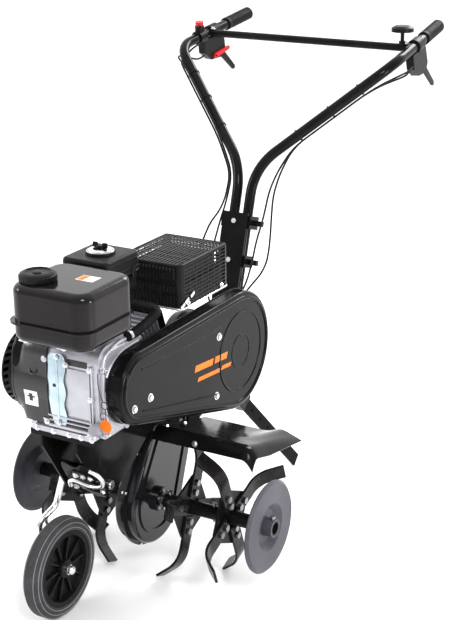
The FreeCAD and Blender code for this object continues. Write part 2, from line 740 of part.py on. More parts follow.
COVER_SCREWS = ((-225.0, 556.0), (-289.0, 552.0), (75.0, 600.0), (60.0, 455.0))
TENSIONER_Y, TENSIONER_Z = 20.0, 453.0
IDLER_Y, IDLER_Z = -60.0, 472.0


def build_tensioner():
    """A swinging arm with a roller under the lower run of the belt."""
    arm = new_body("tensioner_arm")
    strap = new_sketch(arm, "YZ_Plane", D.cover_x + 1.5)
    draw_hull(strap, [(IDLER_Y, IDLER_Z, 9), (TENSIONER_Y, TENSIONER_Z, 9)])
    add_pad(arm, strap, 3)
    stub = new_sketch(arm, "YZ_Plane", D.cover_x + 3)
    draw_circle(stub, IDLER_Y, IDLER_Z, 5)
    add_pad(arm, stub, 25)
    pivot = new_sketch(arm, "YZ_Plane", D.cover_x + 3)
    draw_circle(pivot, TENSIONER_Y, TENSIONER_Z, 5)
    add_pad(arm, pivot, 12, backwards=True)
    deliver(arm, "tensioner_arm")
    roller = new_body("idler_roller")
    profile = new_sketch(roller, "XZ_Plane")
    draw_polygon(profile, [(0, 5 + D.gap), (16, 5 + D.gap), (16, 15), (0, 15)])
    add_revolution(roller, profile)
    deliver(roller, "idler_roller", D.pulley_x + 2, IDLER_Y, IDLER_Z)


# ---------------------------------------------------------------- engine

def build_engine_block():
    outline = [(D.block_front + 26, D.block_bottom + 26, 26), (D.block_rear - 26, D.block_bottom + 26, 26),
               (D.block_rear - 34, D.block_top - 34, 34), (D.block_front + 40, D.block_top - 40, 40)]
    block = new_body("crankcase")
    body = new_sketch(block, "YZ_Plane", D.engine_right)
    draw_hull(body, outline)
    add_pad(block, body, D.engine_left - D.engine_right)
    foot = new_sketch(block, "XY_Plane", D.block_bottom)
    draw_rounded(foot, (D.engine_right + 2, D.block_front - 8), (D.engine_left - 2, D.block_rear + 22), 14)
    add_pad(block, foot, 12)
    hollow = new_sketch(block, "YZ_Plane", D.engine_left)
    draw_hull(hollow, [(y, z, r - 7) for y, z, r in outline])
    add_pocket(block, hollow, D.engine_left - D.engine_right - 10)
    bore = new_sketch(block, "YZ_Plane", D.engine_right - 5)
    draw_circle(bore, D.crank_y, D.crank_z, 14 + D.gap)
    add_pocket(block, bore, 30, backwards=True)
    deliver(block, "crankcase")

    cover = new_body("crankcase_cover")
    face = new_sketch(cover, "YZ_Plane", D.engine_left + 0.2)
    draw_hull(face, outline)
    add_pad(cover, face, 12)
    step = new_sketch(cover, "YZ_Plane", D.engine_left + 10)
    draw_hull(step, [(y, z, r - 8) for y, z, r in outline])
    add_pad(cover, step, D.cover_thick - 10)
    add_rounding(cover, 4, flat_at(0, D.engine_left + D.cover_thick))
    boss = new_sketch(cover, "YZ_Plane", D.engine_left + D.cover_thick - 1)
    draw_circle(boss, D.crank_y, D.crank_z, 23)
    add_pad(cover, boss, 7)
    shaft_hole = new_sketch(cover, "YZ_Plane", D.engine_left)
    draw_circle(shaft_hole, D.crank_y, D.crank_z, 14 + D.gap)
    add_pocket(cover, shaft_hole, 40, backwards=True)
    deliver(cover, "crankcase_cover")

    radius = 14
    webs = [make_cylinder("crank_main", (-128, D.crank_y, D.crank_z), radius, 256),
            make_cylinder("crank_nose", (100, D.crank_y, D.crank_z), 11, 52),
            make_cylinder("crank_web_right", (-40, D.crank_y, D.crank_z), 42, 14),
            make_cylinder("crank_web_left", (20, D.crank_y, D.crank_z), 42, 14)]
    deliver(join("crankshaft", webs), "crankshaft")

    flywheel = new_body("flywheel")
    profile = new_sketch(flywheel, "XZ_Plane")
    draw_polygon(profile, [(-112, 14 + D.gap), (-92, 14 + D.gap), (-92, 76), (-106, 82), (-112, 82)])
    add_revolution(flywheel, profile)
    deliver(flywheel, "flywheel", 0, D.crank_y, D.crank_z)


def build_cylinder():
    """Barrel, head and fins along an axis that rises to the rear, with the rocker cover on its end."""
    turn = Rotation(Vector(1, 0, 0), number(D.cylinder_tilt))
    start_y, start_z = D.block_rear + 0.5, 585
    barrel = new_body("cylinder")
    bore = new_sketch(barrel, "XZ_Plane", -2)
    draw_rounded(bore, (-46, -44), (56, 44), 20)
    add_pad(barrel, bore, 132, backwards=True)
    for index in range(8):
        fin = new_sketch(barrel, "XZ_Plane", -(20 + 14 * index))
        draw_rounded(fin, (-62, -58), (74, 58), 14)
        add_pad(barrel, fin, 4, backwards=True)
    deliver(barrel, "cylinder", 0, start_y + 16, start_z, turn)
    cover = new_body("rocker_cover")
    lid = new_sketch(cover, "XZ_Plane", -135)
    draw_rounded(lid, (-48, -48), (60, 48), 16)
    add_pad(cover, lid, 34, backwards=True)
    add_rounding(cover, 7, flat_at(1, 169))
    deliver(cover, "rocker_cover", 0, start_y + 16, start_z, turn)


def build_shroud():
    shroud = new_body("fan_shroud")
    outline = [(D.crank_y, D.crank_z - 4, 96), (D.crank_y + 60, D.crank_z + 30, 70),
               (D.crank_y - 14, D.crank_z + 40, 76)]
    outer = new_sketch(shroud, "YZ_Plane", D.engine_right - 0.5)
    draw_hull(outer, outline)
    add_pad(shroud, outer, 48, backwards=True)
    add_rounding(shroud, 10, flat_at(0, D.engine_right - 48.5))
    inner = new_sketch(shroud, "YZ_Plane", D.engine_right - 0.5)
    draw_hull(inner, [(y, z, r - 3) for y, z, r in outline])
    add_pocket(shroud, inner, 45)
    add_rounding(shroud, 7, flat_at(0, D.engine_right - 45.5))
    opening = new_sketch(shroud, "YZ_Plane", D.engine_right - 30)
    draw_circle(opening, D.crank_y, D.crank_z, 70)
    add_pocket(shroud, opening, 30)
    deliver(shroud, "fan_shroud")

    recoil = new_body("recoil_housing")
    profile = new_sketch(recoil, "XZ_Plane")
    draw_polygon(profile, [(-129, 86), (-133, 90), (-152, 88), (-163, 76), (-166, 40), (-166, 0),
                           (-163, 0), (-163, 39), (-160, 74), (-150, 84), (-131, 86)])
    add_revolution(recoil, profile)
    post = new_sketch(recoil, "YZ_Plane", -164)
    draw_circle(post, 0, 0, 7)
    add_pad(recoil, post, 26)
    slot = new_sketch(recoil, "XY_Plane", 60)
    draw_circle(slot, ROPE_X, ROPE_Y, 6)
    add_pocket(recoil, slot, 60, backwards=True)
    deliver(recoil, "recoil_housing", 0, D.crank_y, D.crank_z)

    reel = new_body("recoil_reel")
    profile = new_sketch(reel, "XZ_Plane")
    draw_polygon(profile, [(-156, 7 + D.gap), (-140, 7 + D.gap), (-140, 48), (-143, 48), (-143, 34),
                           (-153, 34), (-153, 48), (-156, 48)])
    add_revolution(reel, profile)
    deliver(reel, "recoil_reel", 0, D.crank_y, D.crank_z)

    grip_foot = make_box("pull_bar", (ROPE_X - 9, D.crank_y + ROPE_Y - 28, D.crank_z + 101),
                         (ROPE_X + 9, D.crank_y + ROPE_Y + 28, D.crank_z + 117))
    stem = make_cylinder("pull_stem", (ROPE_X, D.crank_y + ROPE_Y, D.crank_z + 91), 8, 14, Vector(0, 0, 1))
    rope = make_cylinder("pull_rope", (ROPE_X, D.crank_y + ROPE_Y, D.crank_z), 2, 92, Vector(0, 0, 1))
    deliver(join("recoil_handle", [grip_foot, stem, rope]), "recoil_handle")


ROPE_X, ROPE_Y = -148.0, 50.5


def rounded_block(label, low, high, corner, bottom, top, top_edge, bottom_edge=0):
    """A block with a rounded plan and rounded rims."""
    block = new_body(label)
    plan = new_sketch(block, "XY_Plane", bottom)
    draw_rounded(plan, low, high, corner)
    add_pad(block, plan, sized(top) - bottom)
    add_rounding(block, top_edge, flat_at(2, top))
    if bottom_edge:
        add_rounding(block, bottom_edge, flat_at(2, bottom))
    return block


def build_tank():
    """A sheet tank with a seam round it, hollow up to the filler neck."""
    corner, wall = D.tank_corner, D.sheet
    low, high = (D.tank_right, D.tank_front), (D.tank_left, D.tank_rear)
    tank = rounded_block("tank_outside", low, high, corner, D.tank_bottom, D.tank_top, 18, 20)
    seam = new_sketch(tank, "XY_Plane", D.tank_seam - 2.5)
    draw_rounded(seam, (D.tank_right - 7, D.tank_front - 7), (D.tank_left + 7, D.tank_rear - 1), corner)
    add_pad(tank, seam, 5)
    neck = new_sketch(tank, "XY_Plane", D.tank_top - 1)
    draw_circle(neck, CAP_X, CAP_Y, 27)
    add_pad(tank, neck, 9)
    cavity = rounded_block("tank_inside", [size + wall for size in low], [size - wall for size in high],
                           corner - wall, D.tank_bottom + wall, D.tank_top - wall, 16, 18)
    mouth = make_cylinder("tank_mouth", (CAP_X, CAP_Y, D.tank_top - 5), 23, 20, Vector(0, 0, 1))
    deliver(cut_away("fuel_tank", tank, [cavity, mouth]), "fuel_tank")


def build_muffler():
    """A hollow can with an outlet, inside its guard."""
    low = (D.guard_right + 26, D.guard_front + 22)
    high = (D.guard_left - 22, D.guard_rear - 22)
    bottom, wall = D.guard_bottom + 14, D.sheet
    pot = rounded_block("muffler_outside", low, high, 20, bottom, bottom + 76, 12)
    outlet = new_sketch(pot, "YZ_Plane", D.guard_left - 30)
    draw_circle(outlet, -14, D.guard_bottom + 40, 13)
    add_pad(pot, outlet, 22)
    cavity = rounded_block("muffler_inside", [size + wall for size in low], [size - wall for size in high],
                           18, bottom + wall, bottom + 76 - wall, 10)
    mouth = make_cylinder("muffler_mouth", (D.guard_left - 37, -14, D.guard_bottom + 40), 10, 40)
    deliver(cut_away("muffler", pot, [cavity, mouth]), "muffler")

    guard = new_body("muffler_guard")
    case = new_sketch(guard, "XY_Plane", D.guard_bottom)
    draw_rounded(case, (D.guard_right, D.guard_front), (D.guard_left, D.guard_rear), 16)
    add_pad(guard, case, D.guard_top - D.guard_bottom)
    inside = new_sketch(guard, "XY_Plane", D.guard_bottom)
    draw_rounded(inside, (D.guard_right + 3, D.guard_front + 3), (D.guard_left - 3, D.guard_rear - 3), 13)
    add_pocket(guard, inside, D.guard_top - D.guard_bottom - 3, backwards=True)
    deliver(guard, "muffler_guard")


CAP_X, CAP_Y = -14.0, -375.0
AIR_X, AIR_Y = -1.0, -164.0


def build_engine_tops():
    cap = new_body("fuel_cap")
    profile = new_sketch(cap, "XZ_Plane")
    draw_polygon(profile, [(0, 8.5), (28.5, 8.5), (28.5, 0.5), (D.cap_radius, 0.5),
                           (D.cap_radius, 15), (D.cap_radius - 5, 20), (0, 21)])
    add_revolution(cap, profile, "V_Axis")
    deliver(cap, "fuel_cap", CAP_X, CAP_Y, D.tank_top)

    base = new_body("air_cleaner_base")
    foot = new_sketch(base, "XY_Plane", 764)
    draw_rounded(foot, (-58, -226), (56, -102), 12)
    add_pad(base, foot, 36)
    deliver(base, "air_cleaner_base")
    lid = new_body("air_cleaner_cover")
    shell = new_sketch(lid, "XY_Plane", 800.5)
    draw_rounded(shell, (-62, -231), (60, -98), 14)
    add_pad(lid, shell, 48)
    add_rounding(lid, 8, flat_at(2, 848.5))
    inside = new_sketch(lid, "XY_Plane", 800.5)
    draw_rounded(inside, (-59, -228), (57, -101), 11)
    add_pocket(lid, inside, 44.5, backwards=True)
    stud = new_sketch(lid, "XY_Plane", 840)
    draw_circle(stud, AIR_X, AIR_Y, 4.1)
    add_pocket(lid, stud, 15, backwards=True)
    deliver(lid, "air_cleaner_cover")
    nut = new_body("air_cleaner_nut")
    profile = new_sketch(nut, "XZ_Plane")
    draw_polygon(profile, [(0, -6), (4, -6), (4, 0.3), (34, 0.3), (33, 5), (22, 10), (8, 12), (0, 12)])
    add_revolution(nut, profile, "V_Axis")
    deliver(nut, "air_cleaner_nut", AIR_X, AIR_Y, 848.5)

    throat = make_box("carburettor_block", (-52, -212, 704), (-6, -150, 763.5))
    bowl = make_cylinder("float_bowl", (-29, -182, 696), 21, 12, Vector(0, 0, 1))
    deliver(join("carburettor", [throat, bowl]), "carburettor")
    for label, y in (("choke_lever", -198.0), ("fuel_lever", -166.0)):
        pivot = make_cylinder(f"{label}_pivot", (-59, y, 735), 5, 6.5)
        arm = make_box(f"{label}_arm", (-63, y - 4, 731), (-59, y + 4, 757))
        deliver(join(label, [pivot, arm]), label)

    # from beside the tank, back and inwards to the underside of the air cleaner
    hose = tube_shape([Vector(120, -246, 699), Vector(122, -186, 705), Vector(124, -124, 722),
                       Vector(38, -122, 726), Vector(38, -122, 763.8)], 9, (60, 24, 22))
    deliver(feature("breather_hose", hose), "breather_hose")


def build_oil_plug():
    plug = new_body("oil_dipstick")
    profile = new_sketch(plug, "XZ_Plane")
    draw_polygon(profile, [(0, 0.1), (11, 0.1), (11, 4), (8, 4), (8, 16), (12, 17), (12, 26), (0, 26)])
    add_revolution(plug, profile, "V_Axis")
    deliver(plug, "oil_dipstick", 106, D.block_front, 522, Rotation(Vector(1, 0, 0), 90))


# ---------------------------------------------------------------- frame

RAIL_OUTLINE = ((-352, 472), (-352, 446), (-264, 302), (-212, 300), (-150, 330), (-60, 392),
                (60, 300), (150, 330), (270, 372), (298, 322), (344, 316), (372, 372),
                (406, 452), (406, 500), (262, 492), (180, 472))
STAKE_TOP_Y, STAKE_TOP_Z = 300.0, 370.0
# Where the two clamps sit, as shares of the straight column of the handlebars
CLAMP_SHARES = (0.46, 0.685)


def stake_frame():
    """Where the stake starts and the way it points, down and to the rear."""
    return vector(D.stake_x, STAKE_TOP_Y, STAKE_TOP_Z), Rotation(Vector(1, 0, 0), -number(D.stake_angle))


def tube_line():
    """The middle line of the left handlebar tube."""
    return [vector(D.column_x, D.foot_y, D.foot_z), vector(D.column_x, D.fork_y, D.fork_z),
            vector(D.bend_x, D.bend_y, D.bend_z), vector(D.grip_x, D.grip_y, D.grip_z)]


def seated(item, seat):
    """Move a block drawn in a local frame into that frame's place."""
    document.recompute()
    local = item.Placement
    for axis in "xyz":
        item.setExpression(f"Placement.Base.{axis}", None)
    item.Placement = seat.multiply(local)
    return item


def column_seat():
    """The local frame of the handlebar column: Z up along the tubes, Y to the rear."""
    foot, fork = tube_line()[:2]
    lean = (fork - foot).normalize()
    return Placement(Vector(0, foot.y, foot.z), Rotation(Vector(0, 0, 1), lean)), (fork - foot).Length


def frame_plate(side, name):
    """One upright side plate, with the holes of the counter shaft and of the wheel pivot."""
    plate = new_body(f"frame_plate_{name}")
    outline = new_sketch(plate, "YZ_Plane", side * (D.rail_x + 8))
    draw_polygon(outline, RAIL_OUTLINE)
    draw_circle(outline, D.counter_y, D.counter_z, 24)
    draw_circle(outline, D.pivot_y, D.pivot_z, D.axle_rod + D.gap)
    add_pad(plate, outline, D.rail_thick, backwards=side < 0)
    return plate


def build_frame():
    """The welded frame: side plates, engine bed, front bracket, stake socket and column foot."""
    inner = D.rail_x + 8
    column, length = column_seat()
    pivot_bore = make_cylinder("pivot_bore", (-70, D.pivot_y, D.pivot_z), D.axle_rod + D.gap, 140)
    seats = [seated(make_cylinder(f"tube_seat_{side}", (side * D.column_x, 0, 0),
                                  D.tube_radius + D.gap, 80, Vector(0, 0, 1)), column) for side in (1, -1)]
    foot = make_box("column_block", (-inner, 344, 448), (inner, 402, 498))
    upright = seated(make_box("column_sheet", (-36, -29, 0), (36, -23.2, 330)), column)
    bolt_holes = [seated(make_cylinder(f"column_bolt_hole_{k}", (0, -40, share * length), 4.1, 30,
                                       Vector(0, 1, 0)), column) for k, share in enumerate(CLAMP_SHARES)]
    stake_seat = Placement(*stake_frame())
    socket = seated(make_box("socket_block", (-11.5, 14, -25), (12, 94, 25)), stake_seat)
    slide_way = seated(make_box("stake_way", (-D.stake_thick / 2 - 0.3, -90, -D.stake_width / 2 - 0.3),
                                (D.stake_thick / 2 + 0.3, 200, D.stake_width / 2 + 0.3)), stake_seat)
    screw_hole = seated(make_cylinder("stake_screw_hole", (0, 54, 0), 4.1, 40), stake_seat)
    members = [
        frame_plate(1, "left"),
        frame_plate(-1, "right"),
        make_box("engine_bed", (-76, -352, 472), (90, -148, 483.5)),
        cut_away("front_bracket", make_box("front_block", (-inner, -260, 304), (inner, -216, 346)),
                 [pivot_bore]),
        cut_away("column_foot", foot, seats),
        make_box("rear_tie", (-inner, 306, 350), (inner, 336, 380)),
        cut_away("column_plate", upright, [foot] + bolt_holes),
        cut_away("stake_socket", socket, [slide_way, screw_hole]),
    ]
    deliver(bundle("main_frame", members), "main_frame")


def build_front_wheel():
    across, back = D.wheel_x, D.wheel_y
    tyre = new_body("tyre")
    profile = new_sketch(tyre, "XZ_Plane")
    half, radius = D.tyre_half, D.wheel_radius
    draw_polygon(profile, [(2 - half, radius - 28), (half - 2, radius - 28), (half, radius - 19),
                           (half - 3, radius - 7), (half - 11, radius), (11 - half, radius),
                           (3 - half, radius - 7), (-half, radius - 19)])
    add_revolution(tyre, profile)
    deliver(tyre, "tyre", across, back, radius)
    rim = new_body("wheel_rim")
    profile = new_sketch(rim, "XZ_Plane")
    bore, bead = D.axle_rod + D.gap, D.wheel_radius - 28 - D.gap
    draw_polygon(profile, [(-20, bore), (20, bore), (20, 18), (5, 18), (5, 76), (19, 80), (19, bead),
                           (-19, bead), (-19, 80), (-5, 76), (-5, 18), (-20, 18)])
    add_revolution(rim, profile)
    deliver(rim, "wheel_rim", across, back, radius)

    wheel_side = number(D.wheel_x)
    y, z = number(D.wheel_y), number(D.wheel_radius)
    line = [vector(58, D.pivot_y, D.pivot_z), vector(-78, D.pivot_y, D.pivot_z),
            vector(wheel_side - 44, -252, 244), vector(wheel_side - 56, -306, 218),
            vector(wheel_side - 46, y, z), vector(wheel_side + 34, y, z)]
    rod = tube_shape(line, number(D.axle_rod), (15, 22, 20, 14))
    deliver(feature("wheel_arm", rod), "wheel_arm")
    pivot_y, pivot_z = number(D.pivot_y), number(D.pivot_z)
    collars = []
    for start, end, back, up in ((wheel_side + 20.1, wheel_side + 29.1, y, z),
                                 (wheel_side - 27.1, wheel_side - 20.1, y, z),
                                 (49.3, 56.0, pivot_y, pivot_z)):
        collar = along_x(12, start, end, back, up)
        collars.append(collar.cut(along_x(number(D.axle_rod) + 0.05, start - 1, end + 1, back, up)))
    deliver(group("wheel_collars", collars), "wheel_collars")


def build_mudguards():
    guards = []
    front_y, rear_y, front_z, rear_z = -60, 190, 402, 330
    for side, name in ((1, "left"), (-1, "right")):
        guard = new_body(f"mudguard_{name}")
        start = new_sketch(guard, "YZ_Plane", side * (D.guard_inner + 5))
        t = D.sheet
        draw_polygon(start, [(front_y, 372), (front_y + t, 372), (front_y + t, front_z - t - 0.6),
                             (rear_y, rear_z - t), (rear_y, rear_z), (front_y, front_z)])
        add_pad(guard, start, D.guard_outer - D.guard_inner - 5, backwards=side < 0)
        end = new_sketch(guard, "YZ_Plane", side * (D.guard_outer - t))
        draw_polygon(end, [(front_y, 372), (rear_y, 306), (rear_y, rear_z), (front_y, front_z)])
        add_pad(guard, end, t, backwards=side < 0)
        guards.append(guard)
    deliver(bundle("mudguards", guards), "mudguards")


def build_stake():
    """The flat drag bar, long enough for its lower corner to touch the ground."""
    start, turn = stake_frame()
    slope, half_wide = math.radians(number(D.stake_angle)), number(D.stake_width) / 2
    length = (start.z - half_wide * math.cos(slope)) / math.sin(slope)
    bar = make_box("stake_bar", (-D.stake_thick / 2, 0, -D.stake_width / 2),
                   (D.stake_thick / 2, length, D.stake_width / 2))
    holes = [make_cylinder(f"stake_hole_{k}", (-10, 150 + 60 * k, 0), 5, 20) for k in range(4)]
    deliver(cut_away("drag_stake", bar, holes), "drag_stake", D.stake_x, start.y, start.z, turn)
    stem = make_cylinder("screw_stem", (D.stake_thick / 2 + 0.1, 54, 0), 4, 22)
    knob = make_cylinder("screw_knob", (20, 54, 0), 13, 10)
    deliver(join("stake_screw", [stem, knob]), "stake_screw", D.stake_x, start.y, start.z, turn)


# ---------------------------------------------------------------- handlebars and controls

def mirrored(shape):
    return shape.mirror(Vector(), Vector(1, 0, 0))


def grip_way(side):
    """The run of a handlebar under its grip: the tube's end and its direction."""
    line = tube_line()
    end = Vector(side * line[3].x, line[3].y, line[3].z)
    corner = Vector(side * line[2].x, line[2].y, line[2].z)
    return end, (end - corner).normalize()


def on_grip(side, distance):
    """Placement that puts local Z along the tube, `distance` before its end, local Y downwards."""
    end, way = grip_way(side)
    return Placement(end - way * distance, Rotation(Vector(0, 0, 1), way))


def build_handlebars():
    line = tube_line()
    left = tube_shape(line, number(D.tube_radius), (160, 80), number(D.tube_wall))
    y, z = number(D.crossbar_y), number(D.crossbar_z)
    share = (y - line[2].y) / (line[3].y - line[2].y)
    reach = line[2].x + share * (line[3].x - line[2].x) - number(D.tube_radius) - 0.1
    radius = number(D.crossbar_radius)
    bar = along_x(radius, -reach, reach, y, z).cut(along_x(radius - 1.5, -reach - 1, reach + 1, y, z))
    deliver(group("handlebars", [left, mirrored(left), bar]), "handlebars")

    column, length = column_seat()
    holder = []
    for share, depth in zip(CLAMP_SHARES, (30, 34)):
        block = Part.makeBox(84, 46, depth, Vector(-42, -23, -depth / 2))
        block = block.fuse(Part.makeBox(26, 12, 14, Vector(41, -6, -7)))
        for side in (1, -1):
            block = block.cut(Part.makeCylinder(number(D.tube_radius) + 0.05, 60,
                                                Vector(side * number(D.column_x), 0, -30)))
        block = block.cut(Part.makeCylinder(4.1, 60, Vector(0, -30, 0), Vector(0, 1, 0)))
        seat = column.multiply(Placement(Vector(0, 0, share * length), Rotation()))
        block.Placement = seat
        holder.append(block)
        bolt = bolt_shape(Vector(0, 23.1, 0), Vector(0, -1, 0), 4.0, 52.3)
        bolt.Placement = seat.multiply(bolt.Placement)
        CLAMP_BOLTS.append(bolt)
    deliver(group("column_clamps", holder), "column_clamps")

    grips = []
    for side in (1, -1):
        grip = new_body(f"grip_{side}")
        profile = new_sketch(grip, "XZ_Plane")
        bore, length = D.tube_radius + D.gap, D.grip_length
        draw_polygon(profile, [(bore, 0), (D.grip_radius, 0), (D.grip_radius, length - 2), (14, length + 3),
                               (0, length + 3), (0, length + 0.2), (bore, length + 0.2)])
        add_revolution(grip, profile, "V_Axis")
        seat = on_grip(side, number(D.grip_length))
        grip.Placement = seat
        grips.append(grip)
    deliver(bundle("hand_grips", grips), "hand_grips")


CLAMP_BOLTS = []
HOUSING_AT, SWITCH_AT, KNOB_X = {1: 196.0, -1: 206.0}, 264.0, 280.0
LEVER_PIVOT, LEVER_TIP = (62.0, 48.0), (135.0, 118.0)
LATCH_PIVOT, LATCH_END = (67.0, 8.0), (62.0, 74.0)


def lever_housing(side):
    """A clamp ring on the tube and a hanging bracket, slotted for the lever, with its pins."""
    bore = number(D.tube_radius) + 0.05
    ring = Part.makeCylinder(19, 36)
    outline = [Vector(-11, y, z) for y, z in ((12, -38), (50, -36), (76, -6), (82, 48), (60, 66), (12, 60))]
    bracket = Part.Face(Part.makePolygon(outline + outline[:1])).extrude(Vector(22, 0, 0))
    bracket = bracket.makeFillet(5, [edge for edge in bracket.Edges if edge.BoundBox.XLength > 20])
    slot = Part.makeBox(7, 70, 70, Vector(-3.5, 34, 14))
    pin = Part.makeCylinder(4, 16, Vector(-8, *LEVER_PIVOT), Vector(1, 0, 0))
    solid = ring.fuse(bracket).cut(slot).cut(Part.makeCylinder(bore, 160, Vector(0, 0, -60))).fuse(pin)
    if side < 0:
        solid = solid.fuse(Part.makeCylinder(2.5, 14, Vector(6, *LATCH_PIVOT), Vector(1, 0, 0)))
    solid = solid.removeSplitter()
    solid.Placement = on_grip(side, HOUSING_AT[side])
    return solid.cut(along_x(number(D.crossbar_radius) + 0.1, -320, 320, number(D.crossbar_y),
                             number(D.crossbar_z)))


def lever_shape(side, circles, thickness, bore, across=0.0):
    """A flat lever drawn in the plane of the tube, `across` to one side of it."""
    centres = [Vector(across - thickness / 2, y, z) for y, z, _ in circles]
    radii = [r for _, _, r in circles]
    step = centres[1] - centres[0]
    lean = math.acos((radii[0] - radii[1]) / step.Length)
    heading = math.atan2(step.z, step.y)
    corners = []
    for sign in (1, -1):
        way = Vector(0, math.cos(heading + sign * lean), math.sin(heading + sign * lean))
        ends = [centre + way * radius for centre, radius in zip(centres, radii)]
        corners += ends if sign > 0 else ends[::-1]
    solid = Part.Face(Part.makePolygon(corners + corners[:1])).extrude(Vector(thickness, 0, 0))
    solid = solid.fuse([Part.makeCylinder(r, thickness, c, Vector(1, 0, 0)) for c, r in zip(centres, radii)])
    hole = Part.makeCylinder(bore, 40, Vector(-20, centres[0].y, centres[0].z), Vector(1, 0, 0))
    solid = solid.cut(hole).removeSplitter()
    solid.Placement = on_grip(side, HOUSING_AT[side])
    return solid


def build_controls():
    housings = [lever_housing(side) for side in (1, -1)]
    tube_hole = Part.makeCylinder(number(D.tube_radius) + 0.05, 40, Vector(0, 0, -5))
    collar = Part.makeCylinder(19, 30).cut(tube_hole)
    upright = Part.makeCylinder(13, 14, Vector(0, -17, 15), Vector(0, -1, 0))
    well = Part.makeCylinder(4.1, 18, Vector(0, -15, 15), Vector(0, -1, 0))
    switch = collar.fuse(upright).cut(well).removeSplitter()
    switch.Placement = on_grip(-1, SWITCH_AT)
    bar_y, bar_z, bar_radius = number(D.crossbar_y), number(D.crossbar_z), number(D.crossbar_radius)
    saddle = Part.makeCylinder(9, 12, Vector(KNOB_X, bar_y, bar_z + bar_radius - 5))
    saddle = saddle.cut(along_x(bar_radius + 0.05, KNOB_X - 20, KNOB_X + 20, bar_y, bar_z))
    saddle = saddle.cut(Part.makeCylinder(5.05, 12, Vector(KNOB_X, bar_y, bar_z + bar_radius + 1)))
    deliver(group("control_housings", housings + [switch, saddle]), "control_housings")

    for side, name in ((1, "reverse_lever"), (-1, "clutch_lever")):
        lever = lever_shape(side, (LEVER_PIVOT + (10,), LEVER_TIP + (7,)), 6, 4.05)
        deliver(feature(name, lever), name)
    latch = lever_shape(-1, (LATCH_PIVOT + (7,), LATCH_END + (5,)), 6, 2.55, across=14.6)
    deliver(feature("safety_latch", latch), "safety_latch")

    button = Part.makeCylinder(4, 16, Vector(0, -21, 15), Vector(0, -1, 0))
    button = button.fuse(Part.makeCylinder(11, 8, Vector(0, -35, 15), Vector(0, -1, 0))).removeSplitter()
    button.Placement = on_grip(-1, SWITCH_AT)
    deliver(feature("stop_button", button), "stop_button")
    foot = Vector(KNOB_X, bar_y, bar_z + bar_radius + 1.5)
    stem = Part.makeCylinder(5, 32, foot)
    head = Part.makeCylinder(29, 10, foot + Vector(0, 0, 30))
    dome = Part.makeCone(29, 20, 5, foot + Vector(0, 0, 40))
    knob = stem.fuse([head, dome]).removeSplitter()
    deliver(feature("throttle_knob", knob), "throttle_knob")


# Free runs of the cables, from where they leave the handlebar tube
CABLE_RUNS = {
    # down beside the column and across to the tensioner
    "clutch": ((-50, 512, 875), (-46, 473, 810), (-44, 432, 761), (-48, 393, 684), (-40, 350, 640),
               (0, 300, 590), (60, 262, 540), (108, 180, 485), (116, 70, 462)),
    # forward over the upper clamp, to the engine's stop switch
    "stop": ((-58, 516, 872), (-54, 478, 812), (-54, 446, 786), (-57, 410, 768), (-60, 380, 735),
             (-62, 350, 690), (-62, 320, 620)),
    # down past the ends of both clamps to the chain case
    "reverse": ((90, 500, 897), (82, 470, 853), (72, 457, 783), (70, 423, 731), (68, 405, 682),
                (64, 391, 645), (60, 377, 619), (48, 320, 575), (20, 252, 560)),
    # in a wider bow outside the reverse cable
    "throttle": ((100, 492, 893), (103, 452, 847), (104, 441, 797), (102, 439, 744), (98, 438, 704),
                 (92, 436, 671), (82, 424, 643), (70, 402, 622), (62, 366, 600), (62, 320, 570)),
}


def along_tube(side, offset, bend):
    """Points beside a handlebar tube: clear of its upper bend if given, then down to the fork."""
    line = tube_line()
    run = line[2] - line[1]
    points = [line[2] + bend] if bend else []
    points += [line[1] + run * share + offset for share in (0.82, 0.25)]
    return [Vector(side * point.x, point.y, point.z) for point in points]


def build_cables():
    """Each cable leaves its lever housing forwards, follows the tube and then hangs free."""
    starts = {"clutch": (-1, (13, 52, -44), Vector(10, -10, -20), Vector(6.8, -18, 5.6)),
              "stop": (-1, (24, 6, -80), Vector(0, 0, -40), Vector(13, -11, -7)),
              "reverse": (1, (0, 52, -44), None, Vector(9, 6, -15)),
              "throttle": (1, (9, 40, -44), None, Vector(14, -1, -12))}
    cables = []
    for name, (side, local, bend, offset) in starts.items():
        seat = on_grip(side, HOUSING_AT[side])
        line = [seat.multVec(Vector(*local)), seat.multVec(Vector(*local) + Vector(0, 2, -34))]
        line += along_tube(side, offset, bend)
        line += [Vector(*point) for point in CABLE_RUNS[name]]
        cables.append(tube_shape(line, number(D.cable_radius), even_bends(line)))
    deliver(group("control_cables", cables), "control_cables")


def build():
    build_rotor()
    build_chain_drive()
    fasteners = build_chain_case()
    fasteners += build_belt_drive()
    build_tensioner()
    build_engine_block()
    build_cylinder()
    build_shroud()
    build_tank()
    build_muffler()
    build_engine_tops()
    build_oil_plug()
    build_frame()
    build_front_wheel()
    build_mudguards()
    build_stake()
    build_handlebars()
    build_controls()
    build_cables()
    deliver(group("frame_fasteners", fasteners + CLAMP_BOLTS), "frame_fasteners")


def write_nodes():
    document.recompute()
    failed = [item.Label for item in document.Objects if {"Invalid", "Error"} & set(item.State)]
    if failed:
        raise RuntimeError(f"failed objects: {failed}")
    os.makedirs("parts", exist_ok=True)
    for item in nodes:
        if item.Shape.isNull() or not item.Shape.isValid():
            raise RuntimeError(f"{item.Label} has no valid shape")
        item.Shape.exportStep(f"parts/{item.Label}.step")
    print(len(nodes), "nodes written")


build()
write_nodes()
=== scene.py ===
import math

import bmesh
import bpy
from mathutils import Matrix, Vector


